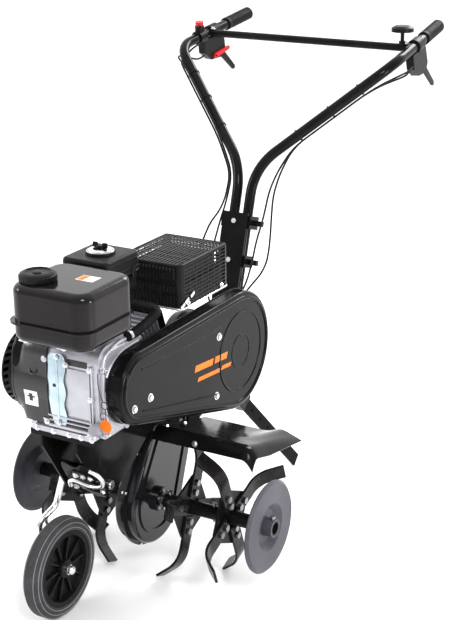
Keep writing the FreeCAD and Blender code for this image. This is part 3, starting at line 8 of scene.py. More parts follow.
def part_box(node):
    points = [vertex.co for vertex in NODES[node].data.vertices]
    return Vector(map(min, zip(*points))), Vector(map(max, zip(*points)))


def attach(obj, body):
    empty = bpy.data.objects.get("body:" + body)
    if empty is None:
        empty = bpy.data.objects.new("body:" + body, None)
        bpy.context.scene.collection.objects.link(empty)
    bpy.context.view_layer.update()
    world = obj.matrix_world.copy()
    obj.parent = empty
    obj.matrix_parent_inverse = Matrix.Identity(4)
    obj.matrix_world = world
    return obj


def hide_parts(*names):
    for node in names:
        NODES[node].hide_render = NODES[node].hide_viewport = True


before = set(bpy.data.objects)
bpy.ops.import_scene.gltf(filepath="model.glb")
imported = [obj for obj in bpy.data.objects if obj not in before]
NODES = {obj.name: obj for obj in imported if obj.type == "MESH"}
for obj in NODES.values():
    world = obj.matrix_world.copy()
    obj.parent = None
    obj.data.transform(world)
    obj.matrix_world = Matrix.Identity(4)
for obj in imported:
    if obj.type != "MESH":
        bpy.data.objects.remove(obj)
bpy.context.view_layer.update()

MM = 0.001
ROUGH_RANGE = 0.10
DUST_COLOUR = (0.30, 0.28, 0.26, 1)
COLOUR_A, COLOUR_B, MIXED = 6, 7, 2         # colour sockets of a mix node


# ---------- materials

def new_material(name):
    """A new node material, its tree and its shader."""
    material = bpy.data.materials.new(name)
    material.use_nodes = True
    tree = material.node_tree
    return material, tree, tree.nodes["Principled BSDF"]


def add_node(tree, kind, links=(), **settings):
    node = tree.nodes.new(kind)
    for key, value in settings.items():
        if key in node.inputs:
            node.inputs[key].default_value = value
        else:
            setattr(node, key, value)
    for name, source in links:
        tree.links.new(source, node.inputs[name])
    return node


def ramp(tree, source, stops):
    node = tree.nodes.new("ShaderNodeValToRGB")
    while len(node.color_ramp.elements) < len(stops):
        node.color_ramp.elements.new(0.5)
    for element, (place, colour) in zip(node.color_ramp.elements, stops):
        element.position = place
        element.color = (*colour, 1) if len(colour) == 3 else colour
    tree.links.new(source, node.inputs["Fac"])
    return node.outputs["Color"]


def grey(value):
    return (value, value, value)


def surface(name, colour, rough, metal=0.0, coat=0.0, patch=9.0, grain=900.0, bump=0.04,
            dust=0.10, spread=0.25, gloss=0.20):
    """A base colour that drifts in soft patches, with fine grain, dust and uneven gloss."""
    material, tree, shader = new_material(name)
    place = add_node(tree, "ShaderNodeTexCoord").outputs["Object"]
    broad = add_node(tree, "ShaderNodeTexNoise", [("Vector", place)],
                     Scale=patch, Detail=5.0).outputs["Fac"]
    fine = add_node(tree, "ShaderNodeTexNoise", [("Vector", place)],
                    Scale=grain, Detail=3.0).outputs["Fac"]
    dark = tuple(c * (1 - spread) for c in colour)
    light = tuple(min(1.0, c * (1 + spread) + 0.002) for c in colour)
    base = ramp(tree, broad, [(0.3, dark), (0.7, light)])
    speck = add_node(tree, "ShaderNodeTexNoise", [("Vector", place)], Scale=60.0, Detail=8.0,
                     Roughness=0.7).outputs["Fac"]
    film = ramp(tree, speck, [(0.52, grey(0.0)), (0.78, grey(dust))])
    dusty = add_node(tree, "ShaderNodeMix", [("Factor", film)], data_type="RGBA")
    dusty.inputs[COLOUR_B].default_value = DUST_COLOUR
    tree.links.new(base, dusty.inputs[COLOUR_A])
    tree.links.new(dusty.outputs[MIXED], shader.inputs["Base Color"])
    uneven = ramp(tree, speck, [(0.3, grey(max(0.02, rough - ROUGH_RANGE / 2))),
                                (0.75, grey(min(1.0, rough + ROUGH_RANGE)))])
    tree.links.new(uneven, shader.inputs["Roughness"])
    shader.inputs["Metallic"].default_value = metal
    shader.inputs["Coat Weight"].default_value = coat
    shader.inputs["Specular IOR Level"].default_value = 0.5 if metal else gloss
    shader.inputs["Coat Roughness"].default_value = 0.12
    relief = add_node(tree, "ShaderNodeBump", [("Height", fine)], Strength=bump, Distance=0.001)
    tree.links.new(relief.outputs["Normal"], shader.inputs["Normal"])
    return material


PAINT = surface("black_gloss_paint", grey(0.005), 0.12, coat=0.04, bump=0.02, dust=0.015,
                gloss=0.07)
TANK_PAINT = surface("tank_paint", (0.008, 0.006, 0.007), 0.10, coat=0.12, bump=0.010, dust=0.015,
                     gloss=0.14)
SATIN = surface("satin_black_paint", grey(0.006), 0.30, coat=0.03, bump=0.05, dust=0.025,
                gloss=0.08)
MATT = surface("matt_black_paint", grey(0.006), 0.40, bump=0.05, dust=0.03, gloss=0.01)
DISC_PAINT = surface("disc_paint", (0.060, 0.056, 0.070), 0.40, bump=0.06, dust=0.08)
BLADE_PAINT = surface("blade_paint", (0.010, 0.008, 0.008), 0.24, coat=0.05, patch=24.0, bump=0.08,
                      dust=0.07, gloss=0.12)
WHEEL_PAINT = surface("case_paint", (0.007, 0.006, 0.008), 0.10, coat=0.3, bump=0.02, dust=0.03,
                      gloss=0.25)
CAST = surface("cast_aluminium", (0.50, 0.50, 0.54), 0.42, metal=0.85, patch=14.0, grain=1400.0,
               bump=0.22, dust=0.16, spread=0.10)
STEEL = surface("machined_steel", (0.42, 0.42, 0.44), 0.32, metal=1.0, bump=0.10, dust=0.05)
ZINC = surface("zinc_plate", (0.80, 0.81, 0.84), 0.24, metal=1.0, patch=40.0, bump=0.08, dust=0.04,
               spread=0.12)
BOLT_ZINC = surface("dull_zinc", (0.30, 0.30, 0.32), 0.34, metal=1.0, patch=40.0, bump=0.08,
                    dust=0.08, spread=0.2)
BLUE_ZINC = surface("blue_zinc_plate", (0.45, 0.56, 0.62), 0.22, metal=0.9, patch=22.0, bump=0.05,
                    dust=0.06, spread=0.2)
PLASTIC = surface("black_plastic", grey(0.006), 0.36, grain=2200.0, bump=0.10, dust=0.03,
                  gloss=0.10)
GREY_PLASTIC = surface("grey_plastic", (0.30, 0.30, 0.33), 0.40, grain=2200.0, bump=0.08, dust=0.06)
RUBBER = surface("black_rubber", grey(0.008), 0.50, grain=1500.0, bump=0.16, dust=0.04, gloss=0.12)
TYRE = surface("tyre_rubber", (0.034, 0.032, 0.036), 0.60, patch=18.0, grain=1200.0, bump=0.20,
               dust=0.12)
RED = surface("red_plastic", (0.55, 0.004, 0.012), 0.28, grain=1800.0, bump=0.05, dust=0.04,
              spread=0.1)
ORANGE = surface("orange_plastic", (0.90, 0.17, 0.004), 0.40, grain=900.0, bump=0.06, dust=0.03,
                 spread=0.1)
LABEL = surface("label_film", grey(0.80), 0.35, bump=0.03, dust=0.05, spread=0.05)
# dark sooty steel for the muffler; also the colour of painted shade: the strips in the crankcase's gaps
# and the disc on the governor plate
SOOTY_STEEL_AND_SHADE = surface("sooty_steel_and_painted_shade", (0.05, 0.047, 0.045), 0.55, metal=0.6, bump=0.25, dust=0.2)
SHROUD = surface("shroud_paint", (0.020, 0.018, 0.020), 0.30, coat=0.15, bump=0.04, dust=0.04,
                 gloss=0.4)
# the tyre's raised moulded rings, coloured light grey as a painted highlight
SEAM_HIGHLIGHT = surface("moulding_line_highlight", grey(0.22), 0.6, bump=0.1, dust=0.05)

FINISH = {
    PAINT: ["main_frame", "handlebars", "column_clamps", "belt_cover", "belt_backplate", "fan_shroud",
            "recoil_housing", "mudguards", "rocker_cover"],
    MATT: ["drag_stake"],
    WHEEL_PAINT: ["chain_case_left", "chain_case_right"],
    TANK_PAINT: ["fuel_tank"],
    SATIN: ["tine_hubs", "muffler_guard"],
    DISC_PAINT: ["side_discs"],
    BLADE_PAINT: ["tine_blades"],
    CAST: ["crankcase", "crankcase_cover", "cylinder", "carburettor", "flywheel", "driven_pulley",
           "engine_pulley"],
    STEEL: ["crankshaft", "input_shaft", "counter_shaft", "tine_shaft", "tine_sprocket", "roller_chains",
            "shaft_bearings", "idler_roller"],
    SOOTY_STEEL_AND_SHADE: ["muffler"],
    ZINC: ["wheel_arm", "wheel_collars", "frame_fasteners", "tensioner_arm"],
    BOLT_ZINC: ["tine_fasteners"],
    GREY_PLASTIC: ["oil_dipstick"],
    PLASTIC: ["fuel_cap", "air_cleaner_base", "air_cleaner_cover", "air_cleaner_nut",
              "recoil_handle", "recoil_reel", "control_housings", "clutch_lever", "reverse_lever",
              "choke_lever", "fuel_lever", "throttle_knob", "stake_screw", "wheel_rim"],
    RUBBER: ["breather_hose", "control_cables", "drive_belt", "hand_grips"],
    TYRE: ["tyre"],
    RED: ["safety_latch", "stop_button"],
}
for material, names in FINISH.items():
    for name in names:
        for slot in NODES[name].material_slots:
            slot.material = material


# ---------- mesh tools

def turned_frame(origin, direction):
    """A matrix whose local Z runs along `direction` from `origin`."""
    z = Vector(direction).normalized()
    side = Vector((0, 0, 1)) if abs(z.z) < 0.95 else Vector((0, 1, 0))
    x = side.cross(z).normalized()
    y = z.cross(x)
    matrix = Matrix((x, y, z)).transposed().to_4x4()
    matrix.translation = Vector(origin)
    return matrix


def around(radius, step, steps):
    """The place of one of `steps` even steps round a circle."""
    angle = 2 * math.pi * step / steps
    return radius * math.cos(angle), radius * math.sin(angle)


def circle_x(x, centre, radius, steps):
    """A circle across X, as (x, y, z) points; `centre` is (y, z)."""
    return [(x, centre[0] + y, centre[1] + z)
            for y, z in (around(radius, k, steps) for k in range(steps))]


class Shape:
    """Collects the closed parts of one piece; every size is in metres, in the row frame."""

    def __init__(self, name):
        self.name = name
        self.mesh = bmesh.new()

    def add(self, points, faces, matrix=Matrix.Identity(4)):
        verts = [self.mesh.verts.new(matrix @ Vector(p)) for p in points]
        for face in faces:
            self.mesh.faces.new([verts[i] for i in face])

    def lathe(self, profile, origin, direction, steps=48, ripple=None):
        """Turn (radius, height) points round an axis; `ripple(step)` scales each step's radii."""
        matrix = turned_frame(origin, direction)
        count = len(profile)
        points, faces = [], []
        for k in range(steps):
            angle = 2 * math.pi * k / steps
            for radius, height in profile:
                r = radius * (ripple(k) if ripple else 1.0)
                points.append((r * math.cos(angle), r * math.sin(angle), height))
        for k in range(steps):
            a, b = k * count, (k + 1) % steps * count
            for i in range(count):
                j = (i + 1) % count
                faces.append((a + i, b + i, b + j, a + j))
        self.add(points, faces, matrix)

    def skin(self, rings, matrix=Matrix.Identity(4), closed=False):
        """Join a row of rings of points; a row that isn't closed gets a face at each end."""
        count, steps = len(rings), len(rings[0])
        faces = [(n * steps + k, n * steps + (k + 1) % steps,
                  (n + 1) % count * steps + (k + 1) % steps, (n + 1) % count * steps + k)
                 for n in range(count if closed else count - 1) for k in range(steps)]
        if not closed:
            last = (count - 1) * steps
            faces += [tuple(reversed(range(steps))), tuple(last + k for k in range(steps))]
        self.add([point for ring in rings for point in ring], faces, matrix)

    def disc(self, radius, low, high, origin, direction, steps=32, chamfer=0.0006):
        """A solid disc with chamfered rims."""
        rings = [(radius - chamfer, low), (radius, low + chamfer), (radius, high - chamfer),
                 (radius - chamfer, high)]
        self.skin([[(*around(r, k, steps), h) for k in range(steps)] for r, h in rings],
                  turned_frame(origin, direction))

    def block(self, low, high, matrix=Matrix.Identity(4), chamfer=0.001):
        """A box with chamfered edges."""
        part = bmesh.new()
        bmesh.ops.create_cube(part, size=1.0)
        low, high = Vector(low), Vector(high)
        size, middle = high - low, (high + low) / 2
        for vert in part.verts:
            vert.co = Vector(c * s for c, s in zip(vert.co, size)) + middle
        bmesh.ops.bevel(part, geom=part.edges[:], offset=min(chamfer, min(size) * 0.3), segments=2,
                        affect="EDGES", profile=0.5)
        self.take(part, matrix)

    def bolt(self, place, direction, radius=0.006, washer=True):
        """A hexagon head on a washer, seated on the surface at `place`."""
        if washer:
            self.disc(radius * 1.45, 0.0, radius * 0.2, place, direction, 24, 0.0002)
        rings = [(radius, radius * 0.15), (radius, radius * 0.85), (radius * 0.82, radius * 1.05)]
        self.skin([[(*around(r, k, 6), h) for k in range(6)] for r, h in rings],
                  turned_frame(place, direction))

    def rod(self, points, radius, steps=12, closed=False):
        """A round wire or bar through points, without twist; `radius` may be a list."""
        points = [Vector(p) for p in points]
        count = len(points)
        rings = []
        normal = None
        for i, point in enumerate(points):
            ahead = points[(i + 1) % count] if closed or i + 1 < count else point
            behind = points[i - 1] if closed or i > 0 else point
            way = (ahead - behind).normalized()
            if normal is None:
                normal = way.orthogonal().normalized()
            normal = (normal - way * normal.dot(way)).normalized()
            across = way.cross(normal)
            reach = radius[i] if isinstance(radius, list) else radius
            rings.append([point + (normal * x + across * y) * reach
                          for x, y in (around(1.0, k, steps) for k in range(steps))])
        self.skin(rings, closed=closed)

    def prism(self, outline, thickness, matrix, chamfer=0.0):
        """A flat outline of (x, y) points with a thickness along local Z."""
        part = bmesh.new()
        low = [part.verts.new((x, y, 0)) for x, y in outline]
        high = [part.verts.new((x, y, thickness)) for x, y in outline]
        part.faces.new(low[::-1])
        part.faces.new(high)
        count = len(outline)
        for i in range(count):
            part.faces.new((low[i], low[(i + 1) % count], high[(i + 1) % count], high[i]))
        if chamfer:
            rims = [e for e in part.edges if abs(e.verts[0].co.z - e.verts[1].co.z) < 1e-9]
            bmesh.ops.bevel(part, geom=rims, offset=chamfer, segments=2, affect="EDGES", profile=0.5)
        self.take(part, matrix)

    def take(self, part, matrix):
        """Add a finished part to the piece."""
        bmesh.ops.transform(part, matrix=matrix, verts=part.verts[:])
        mesh = bpy.data.meshes.new("part")
        part.to_mesh(mesh)
        part.free()
        self.mesh.from_mesh(mesh)
        bpy.data.meshes.remove(mesh)

    def done(self, body, material, smooth=38.0):
        """Make the piece, riding on `body`; edges sharper than `smooth` degrees stay sharp."""
        bmesh.ops.recalc_face_normals(self.mesh, faces=self.mesh.faces[:])
        mesh = bpy.data.meshes.new(self.name)
        self.mesh.to_mesh(mesh)
        self.mesh.free()
        mesh.materials.append(material)
        mesh.polygons.foreach_set("use_smooth", [True] * len(mesh.polygons))
        mesh.set_sharp_from_angle(angle=math.radians(smooth))
        piece = bpy.data.objects.new(self.name, mesh)
        bpy.context.scene.collection.objects.link(piece)
        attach(piece, body)
        return piece


def mm(x, y, z):
    return Vector((x, y, z)) * MM


def smooth_line(points, step=0.0012):
    """Points every `step` along a curve that runs through the given points."""
    points = [Vector(p) for p in points]
    ends = [2 * points[0] - points[1]] + points + [2 * points[-1] - points[-2]]
    dense = []
    for a, b, c, d in zip(ends, ends[1:], ends[2:], ends[3:]):
        count = max(2, int((c - b).length / step))
        for k in range(count):
            t = k / count
            dense.append(0.5 * (2 * b + (c - a) * t + (2 * a - 5 * b + 4 * c - d) * t * t
                                + (3 * b - a - 3 * c + d) * t ** 3))
    return dense + [points[-1]]


def inside(box, x, y, z):
    """A point at shares of a box, from its low corner (0) to its high corner (1)."""
    low, high = box
    size = high - low
    return low + Vector((size.x * x, size.y * y, size.z * z))


def middle(node):
    return inside(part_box(node), 0.5, 0.5, 0.5)


def apply_modifiers(piece):
    """Make the modifiers' result the piece's own mesh."""
    bpy.context.view_layer.update()
    shown = piece.evaluated_get(bpy.context.evaluated_depsgraph_get())
    finished = bpy.data.meshes.new_from_object(shown)
    piece.modifiers.clear()
    piece.data = finished


def sheet_piece(name, mesh, thickness, body, material):
    """A pressed sheet: an open surface given its thickness on the inner side."""
    data = bpy.data.meshes.new(name)
    mesh.to_mesh(data)
    mesh.free()
    data.materials.append(material)
    piece = bpy.data.objects.new(name, data)
    bpy.context.scene.collection.objects.link(piece)
    solid = piece.modifiers.new("thickness", "SOLIDIFY")
    solid.thickness, solid.offset = thickness, -1.0
    apply_modifiers(piece)
    piece.data.polygons.foreach_set("use_smooth", [True] * len(piece.data.polygons))
    piece.data.set_sharp_from_angle(angle=math.radians(35))
    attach(piece, body)
    return piece


# ---------- muffler guard

def perforated(mesh, place, columns, rows, share_u, share_v):
    """A sheet of cells with a hole in each; `place(u, v)` maps cell lines to points.

    `columns` and `rows` are lists of cell borders; the shares say how much of a cell is hole."""
    corners = {(i, j): mesh.verts.new(place(u, v)) for i, u in enumerate(columns)
               for j, v in enumerate(rows)}
    for i in range(len(columns) - 1):
        for j in range(len(rows) - 1):
            u0, u1, v0, v1 = columns[i], columns[i + 1], rows[j], rows[j + 1]
            du, dv = (u1 - u0) * (1 - share_u) / 2, (v1 - v0) * (1 - share_v) / 2
            hole = [mesh.verts.new(place(u, v)) for u, v in
                    ((u0 + du, v0 + dv), (u1 - du, v0 + dv), (u1 - du, v1 - dv), (u0 + du, v1 - dv))]
            rim = [corners[i, j], corners[i + 1, j], corners[i + 1, j + 1], corners[i, j + 1]]
            for k in range(4):
                mesh.faces.new((rim[k], rim[(k + 1) % 4], hole[(k + 1) % 4], hole[k]))


def spaced(start, end, pitch):
    count = max(1, round((end - start) / pitch))
    return [start + (end - start) * k / count for k in range(count + 1)]


def muffler_cage():
    low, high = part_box("muffler_guard")
    low, high = low + Vector((1, 1, 0)) * MM, high - Vector((1, 1, 1)) * MM
    corner, shoulder = 14 * MM, 6 * MM
    top = high.z - shoulder

    def on_wall(run, z):
        """Counter-clockwise round the walls, from the front right corner."""
        left_x, right_x, front, rear = high.x, low.x, low.y, high.y
        wide, deep = left_x - right_x - 2 * corner, rear - front - 2 * corner
        arc = math.pi / 2 * corner
        stretches = [(wide, Vector((right_x + corner, front, 0)), Vector((1, 0, 0))),
                     (deep, Vector((left_x, front + corner, 0)), Vector((0, 1, 0))),
                     (wide, Vector((left_x - corner, rear, 0)), Vector((-1, 0, 0))),
                     (deep, Vector((right_x, rear - corner, 0)), Vector((0, -1, 0)))]
        for length, start, way in stretches:
            if run <= length:
                return start + way * run + Vector((0, 0, z))
            run -= length
            if run <= arc:
                out = Vector((way.y, -way.x, 0))
                centre = start + way * length - out * corner
                angle = run / corner
                return centre + out * math.cos(angle) * corner + way * math.sin(angle) * corner \
                    + Vector((0, 0, z))
            run -= arc
        return stretches[0][1] + Vector((0, 0, z))

    wide, deep = high.x - low.x - 2 * corner, high.y - low.y - 2 * corner
    arc = math.pi / 2 * corner
    walls = bmesh.new()
    start = 0.0
    for length, upright in ((wide, True), (deep, False), (wide, True), (deep, False)):
        cell, shares = ((9, 34), (0.58, 0.86)) if upright else ((27, 8.5), (0.88, 0.55))
        perforated(walls, on_wall, spaced(start, start + length, cell[0] * MM),
                   spaced(low.z + 4 * MM, top, cell[1] * MM), *shares)
        start += length
        perforated(walls, on_wall, spaced(start, start + arc, 5.5 * MM),
                   spaced(low.z + 4 * MM, top, 12 * MM), 0.001, 0.001)
        start += arc
    total = start

    x0, x1 = low.x + shoulder, high.x - shoulder
    y0, y1 = low.y + shoulder, high.y - shoulder
    turn = 4 * MM

    def corner_centre(x, y):
        return Vector((min(max(x, x0 + turn), x1 - turn), min(max(y, y0 + turn), y1 - turn), 0))

    def on_top(x, y):
        centre = corner_centre(x, y)
        step = Vector((x, y, 0)) - centre
        if step.length > turn and abs(step.x) > 1e-6 and abs(step.y) > 1e-6:
            step = step.normalized() * turn
        return centre + step + Vector((0, 0, high.z))

    middle_y = y0 + (y1 - y0) * 0.42
    perforated(walls, on_top, spaced(x0, x1, 9.5 * MM), spaced(y0, middle_y, 30 * MM), 0.60, 0.86)
    perforated(walls, on_top, spaced(x0, x1, 9.5 * MM), spaced(middle_y, y1, 9.5 * MM), 0.66, 0.66)
    bmesh.ops.remove_doubles(walls, verts=walls.verts[:], dist=1e-6)
    # the rounded shoulder between the walls and the top
    steps = 160
    edges = []
    for outer in (on_wall(total * k / steps, top) for k in range(steps)):
        centre = corner_centre(outer.x, outer.y)
        step = Vector((outer.x, outer.y, 0)) - centre
        edges.append((outer, centre + step.normalized() * turn + Vector((0, 0, high.z))))
    rings = []
    for angle in (math.pi / 8 * k for k in range(5)):
        rings.append([])
        for outer, inner in edges:
            flat = outer.lerp(inner, 1 - math.cos(angle))
            rings[-1].append(walls.verts.new((flat.x, flat.y, top + shoulder * math.sin(angle))))
    for first, second in zip(rings, rings[1:]):
        for k in range(steps):
            after = (k + 1) % steps
            walls.faces.new((first[k], first[after], second[after], second[k]))
    bmesh.ops.remove_doubles(walls, verts=walls.verts[:], dist=2e-5)
    bmesh.ops.recalc_face_normals(walls, faces=walls.faces[:])
    cage = sheet_piece("muffler_cage", walls, 1.6 * MM, "chassis", SATIN)
    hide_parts("muffler_guard")

    tray = Shape("heat_shield")
    left, right, front, rear = low.x + 6 * MM, high.x - 6 * MM, low.y + 6 * MM, high.y - 6 * MM
    wall = 1.5 * MM
    tray.block((left, front, low.z + 2 * MM), (right, rear, low.z + 3.5 * MM))
    for x0, x1, y0, y1 in ((left, left + wall, front, rear), (right - wall, right, front, rear),
                           (left, right, front, front + wall), (left, right, rear - wall, rear)):
        tray.block((x0, y0, low.z + 2 * MM), (x1, y1, low.z + 52 * MM), chamfer=0.0004)
    tray.done("chassis", SOOTY_STEEL_AND_SHADE)

    trim = Shape("muffler_guard_trim")
    base = [on_wall(total * k / 96, low.z + 2.5 * MM) for k in range(96)]
    trim.rod(base, 2.4 * MM, 10, closed=True)
    for x, y in ((high.x, low.y + 30 * MM), (high.x, high.y - 34 * MM)):
        trim.bolt((x, y, low.z + 12 * MM), (1, 0, 0), 4 * MM)
    trim.done("chassis", ZINC)


# ---------- tank, air cleaner and hose

def tank_fittings():
    centre = middle("fuel_cap")
    low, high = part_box("fuel_cap")
    height = high.z - low.z
    cap = Shape("fuel_cap_knurled")
    radius = (high.x - low.x) / 2
    foot = Vector((centre.x, centre.y, low.z))
    cap.lathe([(0.0005, 0.008), (0.028, 0.008), (0.028, 0.0005), (radius - 0.001, 0.0005),
               (radius, 0.002), (radius, height * 0.62), (radius - 0.003, height * 0.74)],
              foot, (0, 0, 1), 144, ripple=lambda k: 1.0 - 0.022 * (k % 4 in (0, 1)))
    cap.lathe([(0.0005, 0.004), (radius - 0.0035, 0.004), (radius - 0.003, height * 0.80),
               (radius - 0.008, height * 0.93), (radius - 0.012, height * 0.95),
               (radius - 0.014, height * 0.82), (0.012, height * 0.80), (0.009, height * 0.93),
               (0.0005, height * 0.95)], foot, (0, 0, 1), 72)
    piece = cap.done("tank_cap", PLASTIC)
    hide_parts("fuel_cap")

    plate = Shape("tank_label")
    plate.block((0.052, -0.640, 0.8438), (0.096, -0.606, 0.8446), chamfer=0.0003)
    plate.done("chassis", LABEL)
    mark = Shape("tank_label_band")
    mark.block((0.054, -0.638, 0.8444), (0.070, -0.608, 0.8449), chamfer=0.0002)
    mark.done("chassis", ORANGE)

    ears = Shape("tank_brackets")
    for x in (-48, 52):
        ears.block(mm(x - 12, -700, 706), mm(x + 12, -664, 709))
        ears.block(mm(x - 9, -664, 696), mm(x + 9, -660, 709))
        ears.bolt(mm(x, -690, 706), (0, 0, -1), 0.005)
    ears.done("chassis", ZINC)


def air_cleaner_trim():
    centre = middle("air_cleaner_nut")
    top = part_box("air_cleaner_nut")[1].z
    nut = Shape("air_nut_plate")
    nut.disc(0.031, 0.0, 0.0016, (centre.x, centre.y, top - 0.0068), (0, 0, 1), 48, 0.0004)
    nut.lathe([(0.012, 0.0), (0.029, 0.0), (0.027, 0.003), (0.020, 0.005), (0.013, 0.0045)],
              (centre.x, centre.y, top - 0.006), (0, 0, 1), 60, ripple=lambda k: 1.0 - 0.02 * (k % 2))
    nut.done("air_nut", ZINC)
    wing = Shape("air_wing_nut")
    wing.disc(0.0095, 0.0, 0.0075, (centre.x, centre.y, top - 0.001), (0, 0, 1), 24, 0.001)
    for side in (-1, 1):
        wing.block((centre.x + side * 0.013 - 0.006, centre.y - 0.0025, top),
                   (centre.x + side * 0.013 + 0.006, centre.y + 0.0025, top + 0.012), chamfer=0.0012)
    wing.done("air_nut", PLASTIC)

    low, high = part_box("air_cleaner_cover")
    rim = Shape("air_lid_rim")
    corner = 14 * MM
    left, right, front, rear = low.x + corner, high.x - corner, low.y + corner, high.y - corner
    ring = [(cx + x, cy + y) for cx, cy, start in (
        (right, rear, 0), (left, rear, 6), (left, front, 12), (right, front, 18))
        for x, y in (around(corner, start + k, 24) for k in range(7))]
    for z, radius in ((low.z + 0.003, 0.0022), (low.z + 0.014, 0.0009), (high.z - 0.012, 0.0009)):
        rim.rod([(x, y, z) for x, y in ring], radius, 10, closed=True)
    for y in (low.y + 0.03, high.y - 0.03):
        rim.block((high.x - 0.001, y - 0.007, low.z - 0.012), (high.x + 0.003, y + 0.007, low.z + 0.016))
    rim.done("chassis", PLASTIC)


def corrugated_hose():
    path = smooth_line([mm(120, -551, 699), mm(121, -520, 700), mm(122, -491, 705), mm(123, -455, 714),
                        mm(120, -436, 721), mm(100, -427, 724), mm(60, -427, 726), mm(42, -427, 730),
                        mm(38, -427, 745), mm(38, -427, 763.5)])
    hose = Shape("breather_hose_ribbed")
    radii = [0.0092 + 0.0022 * math.cos(2 * math.pi * k / 5) for k in range(len(path))]
    hose.rod(path, radii, 20)
    piece = hose.done("chassis", RUBBER, smooth=80)
    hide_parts("breather_hose")
    clamp = Shape("hose_clamp")
    clamp.lathe([(0.0100, -0.004), (0.0118, -0.004), (0.0118, 0.004), (0.0100, 0.004)],
                path[4], path[8] - path[0])
    clamp.done("chassis", STEEL)


# ---------- engine

def crankcase_trim():
    low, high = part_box("crankcase")
    front = low.y + 0.008
    casting = Shape("crankcase_casting")
    casting.block((0.029, front - 0.0035, 0.532), (0.084, front + 0.002, 0.644), chamfer=0.002)
    for z0, z1, out in ((0.499, 0.506, 0.007), (0.513, 0.5165, 0.005), (0.5235, 0.528, 0.006)):
        casting.block((-0.026, front - out, z0), (0.090, front + 0.002, z1), chamfer=0.0012)
    for x in (0.086, 0.0925):
        casting.block((x - 0.0018, front - 0.005, 0.500), (x + 0.0018, front + 0.002, 0.656),
                      chamfer=0.0008)
    bosses = [(0.089, 0.650), (0.089, 0.582), (0.089, 0.508), (-0.030, 0.508), (0.027, 0.652)]
    for x, z in (*bosses, (-0.030, 0.655)):
        casting.disc(0.0075, -0.007, 0.002, (x, front, z), (0, 1, 0), 24, 0.001)
    for x0, x1 in ((0.026, 0.060), (0.062, 0.094), (-0.046, -0.016)):
        casting.block((x0, low.y + 0.020, 0.690), (x1, low.y + 0.060, 0.706), chamfer=0.003)
    casting.done("chassis", CAST)

    # painted shade: flat dark strips in the gaps between the crankcase's front ribs, and a dark band
    # above the raised block
    dark = Shape("crankcase_painted_shade")
    dark.block((-0.020, front - 0.001, 0.507), (0.084, front + 0.001, 0.5125), chamfer=0.0004)
    dark.block((-0.020, front - 0.001, 0.517), (0.084, front + 0.001, 0.523), chamfer=0.0004)
    dark.block((0.028, front - 0.0012, 0.650), (0.080, front + 0.001, 0.664), chamfer=0.0004)
    dark.done("chassis", SOOTY_STEEL_AND_SHADE)

    plate = Shape("governor_plate")
    outline = [(-10, 674), (-19, 664), (-20, 640), (-23, 612), (-24, 585), (-21, 556),
               (-16, 528), (-8, 505), (8, 500), (20, 508), (24, 530), (18, 556), (24, 584),
               (19, 612), (25, 640), (24, 664), (16, 674)]
    smooth = smooth_line([mm(x, 0, z) for x, z in outline + outline[:1]], 0.004)[:-1]
    upright = Matrix(((1, 0, 0, 0), (0, 0, -1, front - 0.003), (0, 1, 0, 0), (0, 0, 0, 1)))
    plate.prism([(p.x, p.z) for p in smooth], 0.0014, upright, chamfer=0.0004)
    plate.rod([(0.002, front - 0.0045, z * MM) for z in (522, 560, 590, 620, 660)], 0.003, 10)
    plate.done("chassis", BLUE_ZINC)
    # painted shade: a dark disc on the plate's face, standing in for the shade inside a hole
    hole = Shape("governor_plate_hole_shade")
    hole.disc(0.0042, -0.0052, 0.0, (-0.006, front, 0.598), (0, 1, 0), 24, 0.0003)
    hole.done("chassis", SOOTY_STEEL_AND_SHADE)
    lugs = Shape("tank_brackets")
    for x0, x1 in ((0.030, 0.058), (-0.052, -0.030)):
        lugs.block((x0, low.y - 0.001, 0.694), (x1, low.y + 0.030, 0.712), chamfer=0.002)
        lugs.block((x0 - 0.006, low.y + 0.002, 0.688), (x1 + 0.006, low.y + 0.012, 0.698))
    lugs.done("chassis", CAST)
    bolts = Shape("crankcase_bolts")
    for x, z in (*bosses, (0.004, 0.666), (0.004, 0.512)):
        bolts.bolt((x, front - 0.0068, z), (0, -1, 0), 0.004)
    for x in (-0.066, 0.080):
        for y in (low.y + 0.006, high.y - 0.010):
            bolts.bolt((x, y, 0.4962), (0, 0, 1), 0.006)
    for x in (-0.056, -0.012, 0.030, 0.062, 0.090):
        bolts.bolt((x, low.y - 0.0002, 0.489), (0, -1, 0), 0.0046)
    bolts.done("chassis", ZINC)


